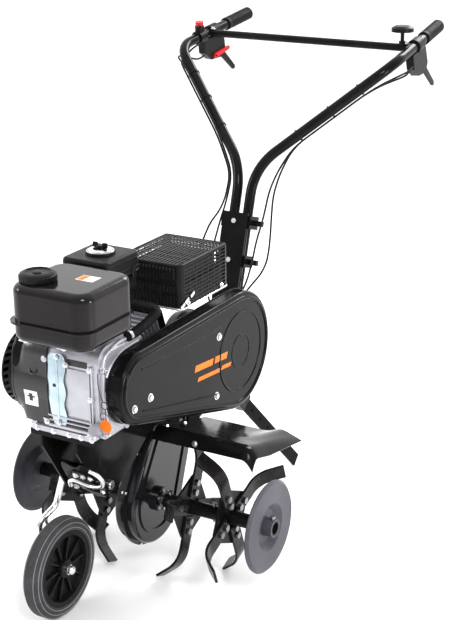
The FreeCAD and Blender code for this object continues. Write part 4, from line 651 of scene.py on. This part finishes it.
def cover_trim():
    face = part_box("crankcase_cover")[0].x + 0.0218
    ribs = Shape("crankcase_cover_ribs")
    for points, radius in (([(-632, 630), (-612, 652), (-566, 672), (-508, 676)], 0.0042),
                           ([(-628, 612), (-604, 636), (-562, 656), (-512, 660)], 0.0036),
                           ([(-636, 600), (-638, 560), (-632, 520)], 0.0034)):
        line = smooth_line([mm(0, y, z) for y, z in points], 0.006)
        ribs.rod([(face, p.y, p.z) for p in line], radius, 12)
    screwed = [(-637, 648), (-640, 545), (-634, 500)]
    for y, z in (*screwed, (-560, 494), (-500, 500), (-492, 560), (-494, 640), (-560, 682)):
        ribs.disc(0.0078, -0.009, 0.0015, mm(117, y, z), (1, 0, 0), 24, 0.001)
    for across in (0, 15, 30):
        elbow = [mm(84 + across * 0.8, -640, 652), mm(92 + across * 0.6, -620, 678),
                 mm(104 + across * 0.2, -580, 690), mm(114, -552, 694)]
        ribs.rod(smooth_line(elbow, 0.006), 0.0046, 12)
    ribs.done("chassis", CAST)
    bolts = Shape("crankcase_cover_bolts")
    for y, z in screwed:
        bolts.bolt(mm(118.4, y, z), (1, 0, 0), 0.0038, washer=False)
    bolts.done("chassis", ZINC)

    tag = Shape("oil_tag_wire")
    wire = 0.0011
    hanging = [mm(112, -657, 648), mm(113, -658, 620), mm(119, -658, 596), mm(124, -658, 585)]
    tag.rod(smooth_line(hanging, 0.004), wire, 8)
    tag.rod([mm(127 + x, -658.5, 578 + z) for x, z in (around(8, k, 28) for k in range(28))],
            wire, 8, closed=True)
    tag.rod([mm(129, -659, 571), mm(130, -659, 556), mm(130, -659, 545)], wire, 8)
    tag.done("chassis", SOOTY_STEEL_AND_SHADE)
    token = Shape("oil_tag")
    token.disc(0.0145, -0.0012, 0.0012, mm(130, -659.5, 531), (0, 1, 0), 40, 0.0006)
    token.lathe([(0.003, -0.002), (0.0052, -0.002), (0.0052, 0.002), (0.003, 0.002)],
                mm(130, -659.5, 541), (0, 1, 0))
    token.done("chassis", ORANGE)


def recoil_grille():
    """The starter housing: a dished cover on a rim of slanted bars."""
    low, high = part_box("recoil_housing")
    centre = inside((low, high), 0, 0.5, 0.5)
    axis = (-1, 0, 0)
    base = Vector((high.x, centre.y, centre.z))
    depth = high.x - low.x
    radius = (high.y - low.y) / 2
    grille = Shape("recoil_grille")
    grille.lathe([(radius - 0.006, 0.0), (radius, 0.0), (radius, 0.006), (radius - 0.005, 0.006)],
                 base, axis, 96)
    grille.lathe([(radius, depth - 0.015), (radius - 0.002, depth - 0.010),
                  (radius - 0.008, depth - 0.006), (radius - 0.030, depth - 0.004),
                  (0.040, depth - 0.0005), (0.030, depth - 0.0005), (0.026, depth - 0.003),
                  (0.0005, depth - 0.003), (0.0005, depth - 0.006), (0.030, depth - 0.0045),
                  (radius - 0.030, depth - 0.0075), (radius - 0.010, depth - 0.010),
                  (radius - 0.004, depth - 0.015)], base, axis, 96)
    teeth = 34
    for k in range(teeth):
        a = 2 * math.pi * k / teeth
        b = a + 0.10
        bar = []
        for angle, height in ((a, 0.005), (a + 0.085, 0.005), (b + 0.085, depth - 0.013),
                              (b, depth - 0.013)):
            for r in (radius - 0.0045, radius - 0.0005):
                bar.append((high.x - height, centre.y + r * math.cos(angle),
                            centre.z + r * math.sin(angle)))
        grille.add(bar, [(0, 2, 3, 1), (2, 4, 5, 3), (4, 6, 7, 5), (6, 0, 1, 7), (0, 6, 4, 2),
                         (1, 3, 5, 7)])
    for k in range(16):
        angle = 2 * math.pi * k / 16
        turn = (Matrix.Translation((low.x + 0.0035, centre.y, centre.z))
                @ Matrix.Rotation(angle, 4, "X"))
        grille.block((-0.0022, 0.046, -0.003), (0.0012, radius - 0.020, 0.003), turn)
    piece = grille.done("chassis", SATIN)
    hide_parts("recoil_housing")
    bolts = Shape("recoil_bolts")
    for k in range(3):
        angle = math.radians(40 + 120 * k)
        bolts.bolt((low.x + 0.0042, centre.y + (radius - 0.017) * math.cos(angle),
                    centre.z + (radius - 0.017) * math.sin(angle)), axis, 0.0035)
    bolts.done("chassis", ZINC)


SHROUD_CENTRE = (-0.560, 0.586)


def shroud_reach(angle, x):
    """Distance from the fan's axis to the front sheet: round at the fan, then clear of the crankcase."""
    y, z = math.cos(angle), math.sin(angle)
    tall, corner = (0.110, 0.040) if z > 0 else (0.102, 0.026)
    reach = min(0.090 / max(-y, 1e-6), tall / max(abs(z), 1e-6))
    centre = (-(0.090 - corner), math.copysign(tall - corner, z))
    if reach * -y > -centre[0] and reach * abs(z) > abs(centre[1]):
        along = y * centre[0] + z * centre[1]
        reach = along + math.sqrt(max(0.0, along ** 2 - centre[0] ** 2 - centre[1] ** 2 + corner ** 2))
    share = min(1.0, (x + 0.1195) / 0.037)
    return 0.0966 + max(0.0, reach - 0.0936) * share * share * (3 - 2 * share)


def curved_patch(shape, x_places, angles, heights, steps=40):
    """A part of the shroud's front sheet, `heights` above its inner face."""
    points = []
    for k in range(steps + 1):
        angle = math.radians(angles[0] + (angles[1] - angles[0]) * k / steps)
        for height in heights:
            for x in x_places:
                reach = shroud_reach(angle, x) + height
                points.append((x, SHROUD_CENTRE[0] + reach * math.cos(angle),
                               SHROUD_CENTRE[1] + reach * math.sin(angle)))
    wide = len(x_places)
    end = wide - 1
    faces = []
    for k in range(steps):
        start, after = 2 * wide * k, 2 * wide * (k + 1)
        for j in range(end):
            faces.append((start + j, after + j, after + j + 1, start + j + 1))
            faces.append((start + wide + j, start + wide + j + 1, after + wide + j + 1,
                          after + wide + j))
        faces.append((start, start + wide, after + wide, after))
        faces.append((start + end, after + end, after + wide + end, start + wide + end))
    for start, flip in ((0, 1), (2 * wide * steps, -1)):
        for j in range(end):
            faces.append((start + j, start + j + 1, start + wide + j + 1, start + wide + j)[::flip])
    shape.add(points, faces)


def shroud_point(degrees, x):
    """A place on the shroud's front sheet and the way it faces."""
    angle = math.radians(degrees)
    way = Vector((0, math.cos(angle), math.sin(angle)))
    return Vector((x, *SHROUD_CENTRE)) + way * (shroud_reach(angle, x) + 0.0016), way


def shroud_front():
    """The shroud's front sheet, which covers the fan side of the crankcase, with label and dimple."""
    sheet = Shape("shroud_front")
    across = (-0.1195, -0.112, -0.105, -0.098, -0.091, -0.084, -0.060, -0.024)
    curved_patch(sheet, across, (116, 222), (0.0, 0.0016), 80)
    curved_patch(sheet, (-0.0285, -0.024), (116, 222), (0.0016, 0.0030), 80)
    curved_patch(sheet, (-0.1195, -0.116), (116, 222), (0.0016, 0.0026), 80)
    place, way = shroud_point(158, -0.062)
    sheet.lathe([(0.0065, -0.001), (0.012, -0.001), (0.012, 0.001), (0.0095, 0.0022),
                 (0.0070, 0.0004)], place, way, 40)
    sheet.done("chassis", SHROUD)
    label = Shape("shroud_label")
    curved_patch(label, (-0.088, -0.080, -0.052), (187, 207), (0.0017, 0.0021), 12)
    label.done("chassis", LABEL)
    mark = Shape("shroud_label_mark")
    curved_patch(mark, (-0.080, -0.060), (194.5, 196.5), (0.0021, 0.0024), 4)
    curved_patch(mark, (-0.075, -0.066), (191, 201), (0.0021, 0.0025), 8)
    mark.done("chassis", SOOTY_STEEL_AND_SHADE)
    bolts = Shape("shroud_bolts")
    for degrees, x in ((122, -0.036), (218, -0.036), (218, -0.108)):
        place, way = shroud_point(degrees, x)
        bolts.bolt(place, way, 0.0035)
    bolts.done("chassis", ZINC)


# ---------- belt cover and chain case

def belt_cover_trim():
    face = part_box("belt_cover")[1].x
    front, rear = (-0.560, 0.590, 0.084), (-0.127, 0.530, 0.147)
    lean = math.acos((front[2] - rear[2]) / math.hypot(rear[0] - front[0], rear[1] - front[1]))
    heading = math.atan2(rear[1] - front[1], rear[0] - front[0])

    def loop(inset):
        """The cover's outline, moved inwards."""
        points = []
        for (y, z, r), start, end in ((rear, heading - lean, heading + lean),
                                      (front, heading + lean, heading - lean + 2 * math.pi)):
            for k in range(49):
                angle = start + (end - start) * k / 48
                points.append((y + (r - inset) * math.cos(angle), z + (r - inset) * math.sin(angle)))
        return points

    bead = Shape("belt_cover_bead")
    bead.rod([(face - 0.0012, y, z) for y, z in loop(0.015)], 0.0052, 16, closed=True)
    bead.rod([(face - 0.0345, y, z) for y, z in loop(-0.0006)], 0.0016, 8, closed=True)
    for reach, thick in ((0.100, 0.0030), (0.042, 0.0022)):
        bead.rod(circle_x(face - 0.0008, rear[:2], reach, 96), thick, 12, closed=True)
    for (y0, z0), (y1, z1) in (((-0.560, 0.634), (-0.215, 0.620)),
                               ((-0.560, 0.536), (-0.215, 0.452))):
        bead.rod(smooth_line([(face - 0.0008, y0, z0), (face - 0.0008, (y0 + y1) / 2, (z0 + z1) / 2),
                              (face - 0.0008, y1, z1)], 0.01), 0.0026, 12)
    bead.done("chassis", PAINT)

    marks = Shape("cover_stripes")
    on_face = Matrix(((0, 0, 1, face - 0.0001), (1, 0, 0, 0), (0, 1, 0, 0), (0, 0, 0, 1)))
    drop, slant = -0.10, 6
    for y0, y1, z0, tall in ((-342, -262, 548, 15), (-252, -196, 540, 15), (-330, -230, 521, 9),
                             (-222, -178, 513, 9)):
        z1 = z0 + (y1 - y0) * drop
        outline = [(y0, z0), (y1, z1), (y1 + slant, z1 + tall), (y0 + slant, z0 + tall)]
        marks.prism([(y * MM, z * MM) for y, z in outline], 0.0005, on_face)
    marks.done("chassis", ORANGE)

    screws = Shape("cover_washers")
    for y, z in ((-530, 556), (-594, 552), (-230, 600), (-245, 455)):
        screws.lathe([(0.0072, 0.0), (0.0098, 0.0), (0.0094, 0.0012), (0.0074, 0.0014)],
                     (face, y * MM, z * MM), (1, 0, 0))
    screws.done("chassis", ZINC)


def chain_case_trim():
    for side, name in ((1, "left"), (-1, "right")):
        bolts = Shape(f"case_boss_bolts_{name}")
        low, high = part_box(f"chain_case_{name}")
        face = high.x if side > 0 else low.x
        for y, z, reach, count in ((-0.305, 0.1785, 0.0245, 6), (-0.127, 0.530, 0.021, 4)):
            for k in range(count):
                out, rise = around(reach, k + 0.5, count)
                bolts.bolt((face, y + out, z + rise), (side, 0, 0), 0.0034, washer=False)
        bolts.done("chassis", STEEL)


# ---------- frame, mudguards and wheel

def front_bracket():
    foot, head = mm(0, -569.5, 303), mm(0, -657.5, 446.5)
    up = (head - foot).normalized()
    out = Vector((0, -up.z, up.y))
    plane = Matrix((Vector((1, 0, 0)), up, out)).transposed().to_4x4()
    plane.translation = foot + out * 0.0008
    sheet = Shape("front_bracket_sheet")
    outline = [(-18, 24), (-10, 10), (10, 8), (22, 18), (40, 8), (66, 12), (82, 36), (84, 70), (76, 96),
               (62, 104), (52, 122), (40, 128), (30, 118), (14, 112), (2, 124), (-8, 126), (-16, 112),
               (-20, 80)]
    smooth = smooth_line([mm(x, z, 0) for x, z in outline + outline[:1]], 0.004)[:-1]
    sheet.prism([(q.x, q.y) for q in smooth], 0.003, plane, chamfer=0.0008)
    sheet.prism([(0.010, 0.030), (0.058, 0.030), (0.058, 0.100), (0.010, 0.100)], 0.006, plane,
                chamfer=0.001)
    sheet.done("chassis", PAINT)
    bolts = Shape("front_bracket_bolts")
    for x, z, lift in ((14, 86, 6), (34, 86, 6), (54, 86, 6), (-8, 30, 3), (66, 36, 3)):
        bolts.bolt(plane @ mm(x, z, lift), out, 0.0052)
    strap = [plane @ mm(x, z, 7) for x, z in (
        (66, 122), (82, 112), (88, 92), (80, 70), (60, 58), (38, 54), (18, 60), (2, 64), (-14, 54),
        (-20, 34))]
    bolts.rod(smooth_line(strap, 0.004), 0.0050, 14)
    bolts.done("chassis", ZINC)


def mudguard_sheets():
    """The two guards above the tines, with a rolled lip in front and at the outer edge."""
    low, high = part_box("mudguards")
    outer, inner = high.x - 0.002, 0.052
    front, rear = low.y + 0.001, high.y - 0.001
    top, fall = high.z - 0.0015, 0.072
    sheet = bmesh.new()
    wide, deep = 36, 26
    for side in (1, -1):
        rows = []
        for j in range(deep + 1):
            row = []
            for i in range(wide + 1):
                u, v = i / wide, j / deep
                x = min(inner + (outer - inner) * u, outer)
                y = front + (rear - front) * v
                z = top - fall * v
                lip = max(0.0, (0.10 - v) / 0.10)
                z -= 0.034 * lip ** 1.6
                edge = max(0.0, (u - 0.90) / 0.10)
                curl = max(0.0, min(1.0, (v - 0.35) / 0.65))
                z -= (0.026 * (1 - curl) + 0.006 * curl) * edge ** 1.7
                wave = math.exp(-((u - 0.80) / 0.10) ** 2) * curl
                z += 0.012 * wave - 0.010 * curl * max(0.0, 0.10 - abs(u - 0.62))
                row.append(sheet.verts.new((side * x, y, z)))
            rows.append(row)
        for a, b in zip(rows, rows[1:]):
            for i in range(wide):
                quad = (a[i], a[i + 1], b[i + 1], b[i])
                sheet.faces.new(quad if side > 0 else quad[::-1])
    piece = sheet_piece("mudguard_sheets", sheet, 0.002, "chassis", PAINT)
    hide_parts("mudguards")
    bolts = Shape("mudguard_bolts")
    for side in (1, -1):
        for x, y in ((0.072, -0.330), (0.072, -0.250)):
            z = top - fall * (y - front) / (rear - front)
            bolts.bolt((side * x, y, z - 0.0002), (0, 0.28, 0.96), 0.005)
        bolts.bolt((side * 0.170, front - 0.0002, high.z - 0.022), (0, -1, 0.3), 0.005)
    bolts.done("chassis", ZINC)


def wheel_trim():
    low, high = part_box("wheel_rim")
    centre = inside((low, high), 0.5, 0.5, 0.5)
    ribs = Shape("wheel_rim_ribs")
    for side in (1, -1):
        for k in range(10):
            turn = Matrix.Translation(centre) @ Matrix.Rotation(2 * math.pi * k / 10, 4, "X")
            ribs.block((side * 0.0045, 0.017, -0.0024), (side * 0.0145, 0.0775, 0.0024), turn)
        ribs.lathe([(0.0165, 0.004), (0.0225, 0.004), (0.0215, 0.019), (0.0165, 0.0195)],
                   centre, (side, 0, 0), 48)
        ribs.lathe([(0.0755, 0.006), (0.0795, 0.006), (0.0825, 0.0195), (0.0795, 0.0198)],
                   centre, (side, 0, 0), 72)
    ribs.done("wheel", PLASTIC)
    low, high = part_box("tyre")
    middle_x = (low.x + high.x) / 2
    # real raised rings on the tyre; their light grey colour is a painted highlight along each ring
    seams = Shape("tyre_seam_highlights")
    for across, radius, thick in ((12.5, 118.2, 0.8), (4, 119.0, 0.7), (20.2, 108.5, 0.8),
                                  (21.2, 98.0, 0.8)):
        for x in (middle_x + across * MM, middle_x - across * MM):
            seams.rod(circle_x(x, centre.yz, radius * MM, 120), thick * MM, 8, closed=True)
    seams.done("wheel", SEAM_HIGHLIGHT)
    cap = Shape("axle_nut")
    tip = Vector((middle_x + 0.034, centre.y, centre.z))
    cap.lathe([(0.0005, -0.003), (0.0105, -0.003), (0.0105, 0.002), (0.0085, 0.005), (0.004, 0.0068),
               (0.0005, 0.0072)], tip, (1, 0, 0), 36)
    cap.done("wheel_leg", ZINC)


# ---------- handlebars

BEND = (0.3175, 0.3935, 1.1585)             # where each handlebar tube turns towards its grip


def ribbed_grips():
    grips = Shape("ribbed_grips")
    profile = [(0.0136, -0.118), (0.0178, -0.118), (0.0179, -0.112)]
    for k in range(19):
        z = -0.108 + 0.0056 * k
        profile += [(0.0178, z), (0.0178, z + 0.0030), (0.0165, z + 0.0038), (0.0165, z + 0.0050)]
    profile += [(0.0178, 0.0), (0.0165, 0.002), (0.0135, 0.0028), (0.0005, 0.0028), (0.0005, 0.0006),
                (0.0136, 0.0006)]
    for side in (1, -1):
        end, bend = Vector((side * 0.296, 0.735, 1.209)), Vector((side * BEND[0], *BEND[1:]))
        grips.lathe(profile, end, (end - bend).normalized(), 48)
    piece = grips.done("chassis", RUBBER)
    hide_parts("hand_grips")


def tube_clips():
    clips = Shape("cable_ties")
    rest = Shape("handlebar_bolts")
    for side in (1, -1):
        fork, bend = Vector((side * 0.020, 0.199, 0.899)), Vector((side * BEND[0], *BEND[1:]))
        for share in (0.32, 0.55, 0.76):
            clips.lathe([(0.0138, -0.0024), (0.0156, -0.0024), (0.0156, 0.0024), (0.0138, 0.0024)],
                        fork + (bend - fork) * share, (bend - fork).normalized(), 40)
        rest.bolt((side * 0.293, 0.530, 1.1905), (0, 0, 1), 0.0052)
    clips.done("chassis", PLASTIC)
    rest.done("chassis", ZINC)


def exhaust_tabs():
    tabs = Shape("exhaust_bracket")
    for y, z in ((-366, 716), (-348, 724), (-324, 732)):
        turn = Matrix.Translation(mm(147.3, y, z)) @ Matrix.Rotation(math.radians(24), 4, "X")
        tabs.block((-0.001, -0.0085, -0.004), (0.001, 0.0085, 0.004), turn, chamfer=0.0006)
    tabs.done("chassis", ZINC)


muffler_cage()
tank_fittings()
air_cleaner_trim()
corrugated_hose()
crankcase_trim()
cover_trim()
recoil_grille()
shroud_front()
belt_cover_trim()
chain_case_trim()
front_bracket()
mudguard_sheets()
wheel_trim()
ribbed_grips()
tube_clips()
exhaust_tabs()


# ---------- camera, light and floor

FLOOR_HALF = 9.0
LENS, SENSOR = 82.96, 36.0                  # millimetres
CAMERA_PLACE, CAMERA_WAY = (1.756, -2.948, 1.777), (-0.4716, 0.8169, -0.3323)
CAMERA_ROLL = -0.56                         # degrees
WALL_WAY = (-0.44, 0.76, 0.48)              # towards the bright wall behind the machine
WALL_STRENGTH = 1.7
LAMPS = [                                   # name, place, aim, side, watts
    ("key", (2.2, -2.4, 3.0), (0, 0, 0.5), 0.9, 70),
    ("fill", (-2.8, -2.0, 2.0), (0, -0.2, 0.5), 0.9, 35),
    ("rim", (0.4, 2.8, 2.6), (0, 0, 0.7), 1.2, 60),
    ("strip", (2.6, -0.3, 0.7), (0, -0.2, 0.5), 0.5, 26)]


def setting():
    floor_mesh = bmesh.new()
    bmesh.ops.create_grid(floor_mesh, x_segments=2, y_segments=2, size=FLOOR_HALF)
    data = bpy.data.meshes.new("floor")
    floor_mesh.to_mesh(data)
    floor_mesh.free()
    floor = bpy.data.objects.new("floor", data)
    pale, tree, shader = new_material("pale_floor")
    place = add_node(tree, "ShaderNodeTexCoord").outputs["Object"]
    mottle = add_node(tree, "ShaderNodeTexNoise", [("Vector", place)], Scale=2.0, Detail=2.0)
    tone = ramp(tree, mottle.outputs["Fac"], [(0.3, grey(0.90)), (0.7, grey(0.94))])
    tree.links.new(tone, shader.inputs["Base Color"])
    shader.inputs["Roughness"].default_value = 0.6
    data.materials.append(pale)
    bpy.context.scene.collection.objects.link(floor)

    world = bpy.data.worlds.new("studio")
    bpy.context.scene.world = world
    world.use_nodes = True
    # a studio: bright wall behind the machine and above it, dim room towards the lens
    tree = world.node_tree
    way = add_node(tree, "ShaderNodeTexCoord").outputs["Generated"]
    facing = add_node(tree, "ShaderNodeVectorMath", [(0, way)], operation="DOT_PRODUCT")
    facing.inputs[1].default_value = WALL_WAY
    share = add_node(tree, "ShaderNodeMapRange", [("Value", facing.outputs["Value"])])
    share.inputs["From Min"].default_value = -1.0
    light = ramp(tree, share.outputs["Result"],
                 [(0.0, grey(0.34)), (0.38, grey(0.40)), (0.60, grey(0.70)), (0.72, grey(1.0))])
    tree.links.new(light, tree.nodes["Background"].inputs["Color"])
    tree.nodes["Background"].inputs["Strength"].default_value = WALL_STRENGTH

    for name, place, aim, size, power in LAMPS:
        lamp = bpy.data.lights.new(name, "AREA")
        lamp.shape, lamp.size, lamp.energy = "SQUARE", size, power
        holder = bpy.data.objects.new(name, lamp)
        holder.location = place
        holder.rotation_euler = (Vector(aim) - Vector(place)).to_track_quat("-Z", "Y").to_euler()
        bpy.context.scene.collection.objects.link(holder)

    camera = bpy.data.cameras.new("camera")
    camera.lens, camera.sensor_width = LENS, SENSOR
    holder = bpy.data.objects.new("camera", camera)
    look = Vector(CAMERA_WAY).to_track_quat("-Z", "Y").to_matrix().to_4x4()
    roll = Matrix.Rotation(math.radians(CAMERA_ROLL), 4, "Z")
    holder.matrix_world = Matrix.Translation(CAMERA_PLACE) @ look @ roll
    bpy.context.scene.collection.objects.link(holder)
    bpy.context.scene.camera = holder
    bpy.context.scene.view_settings.view_transform = "Standard"


setting()
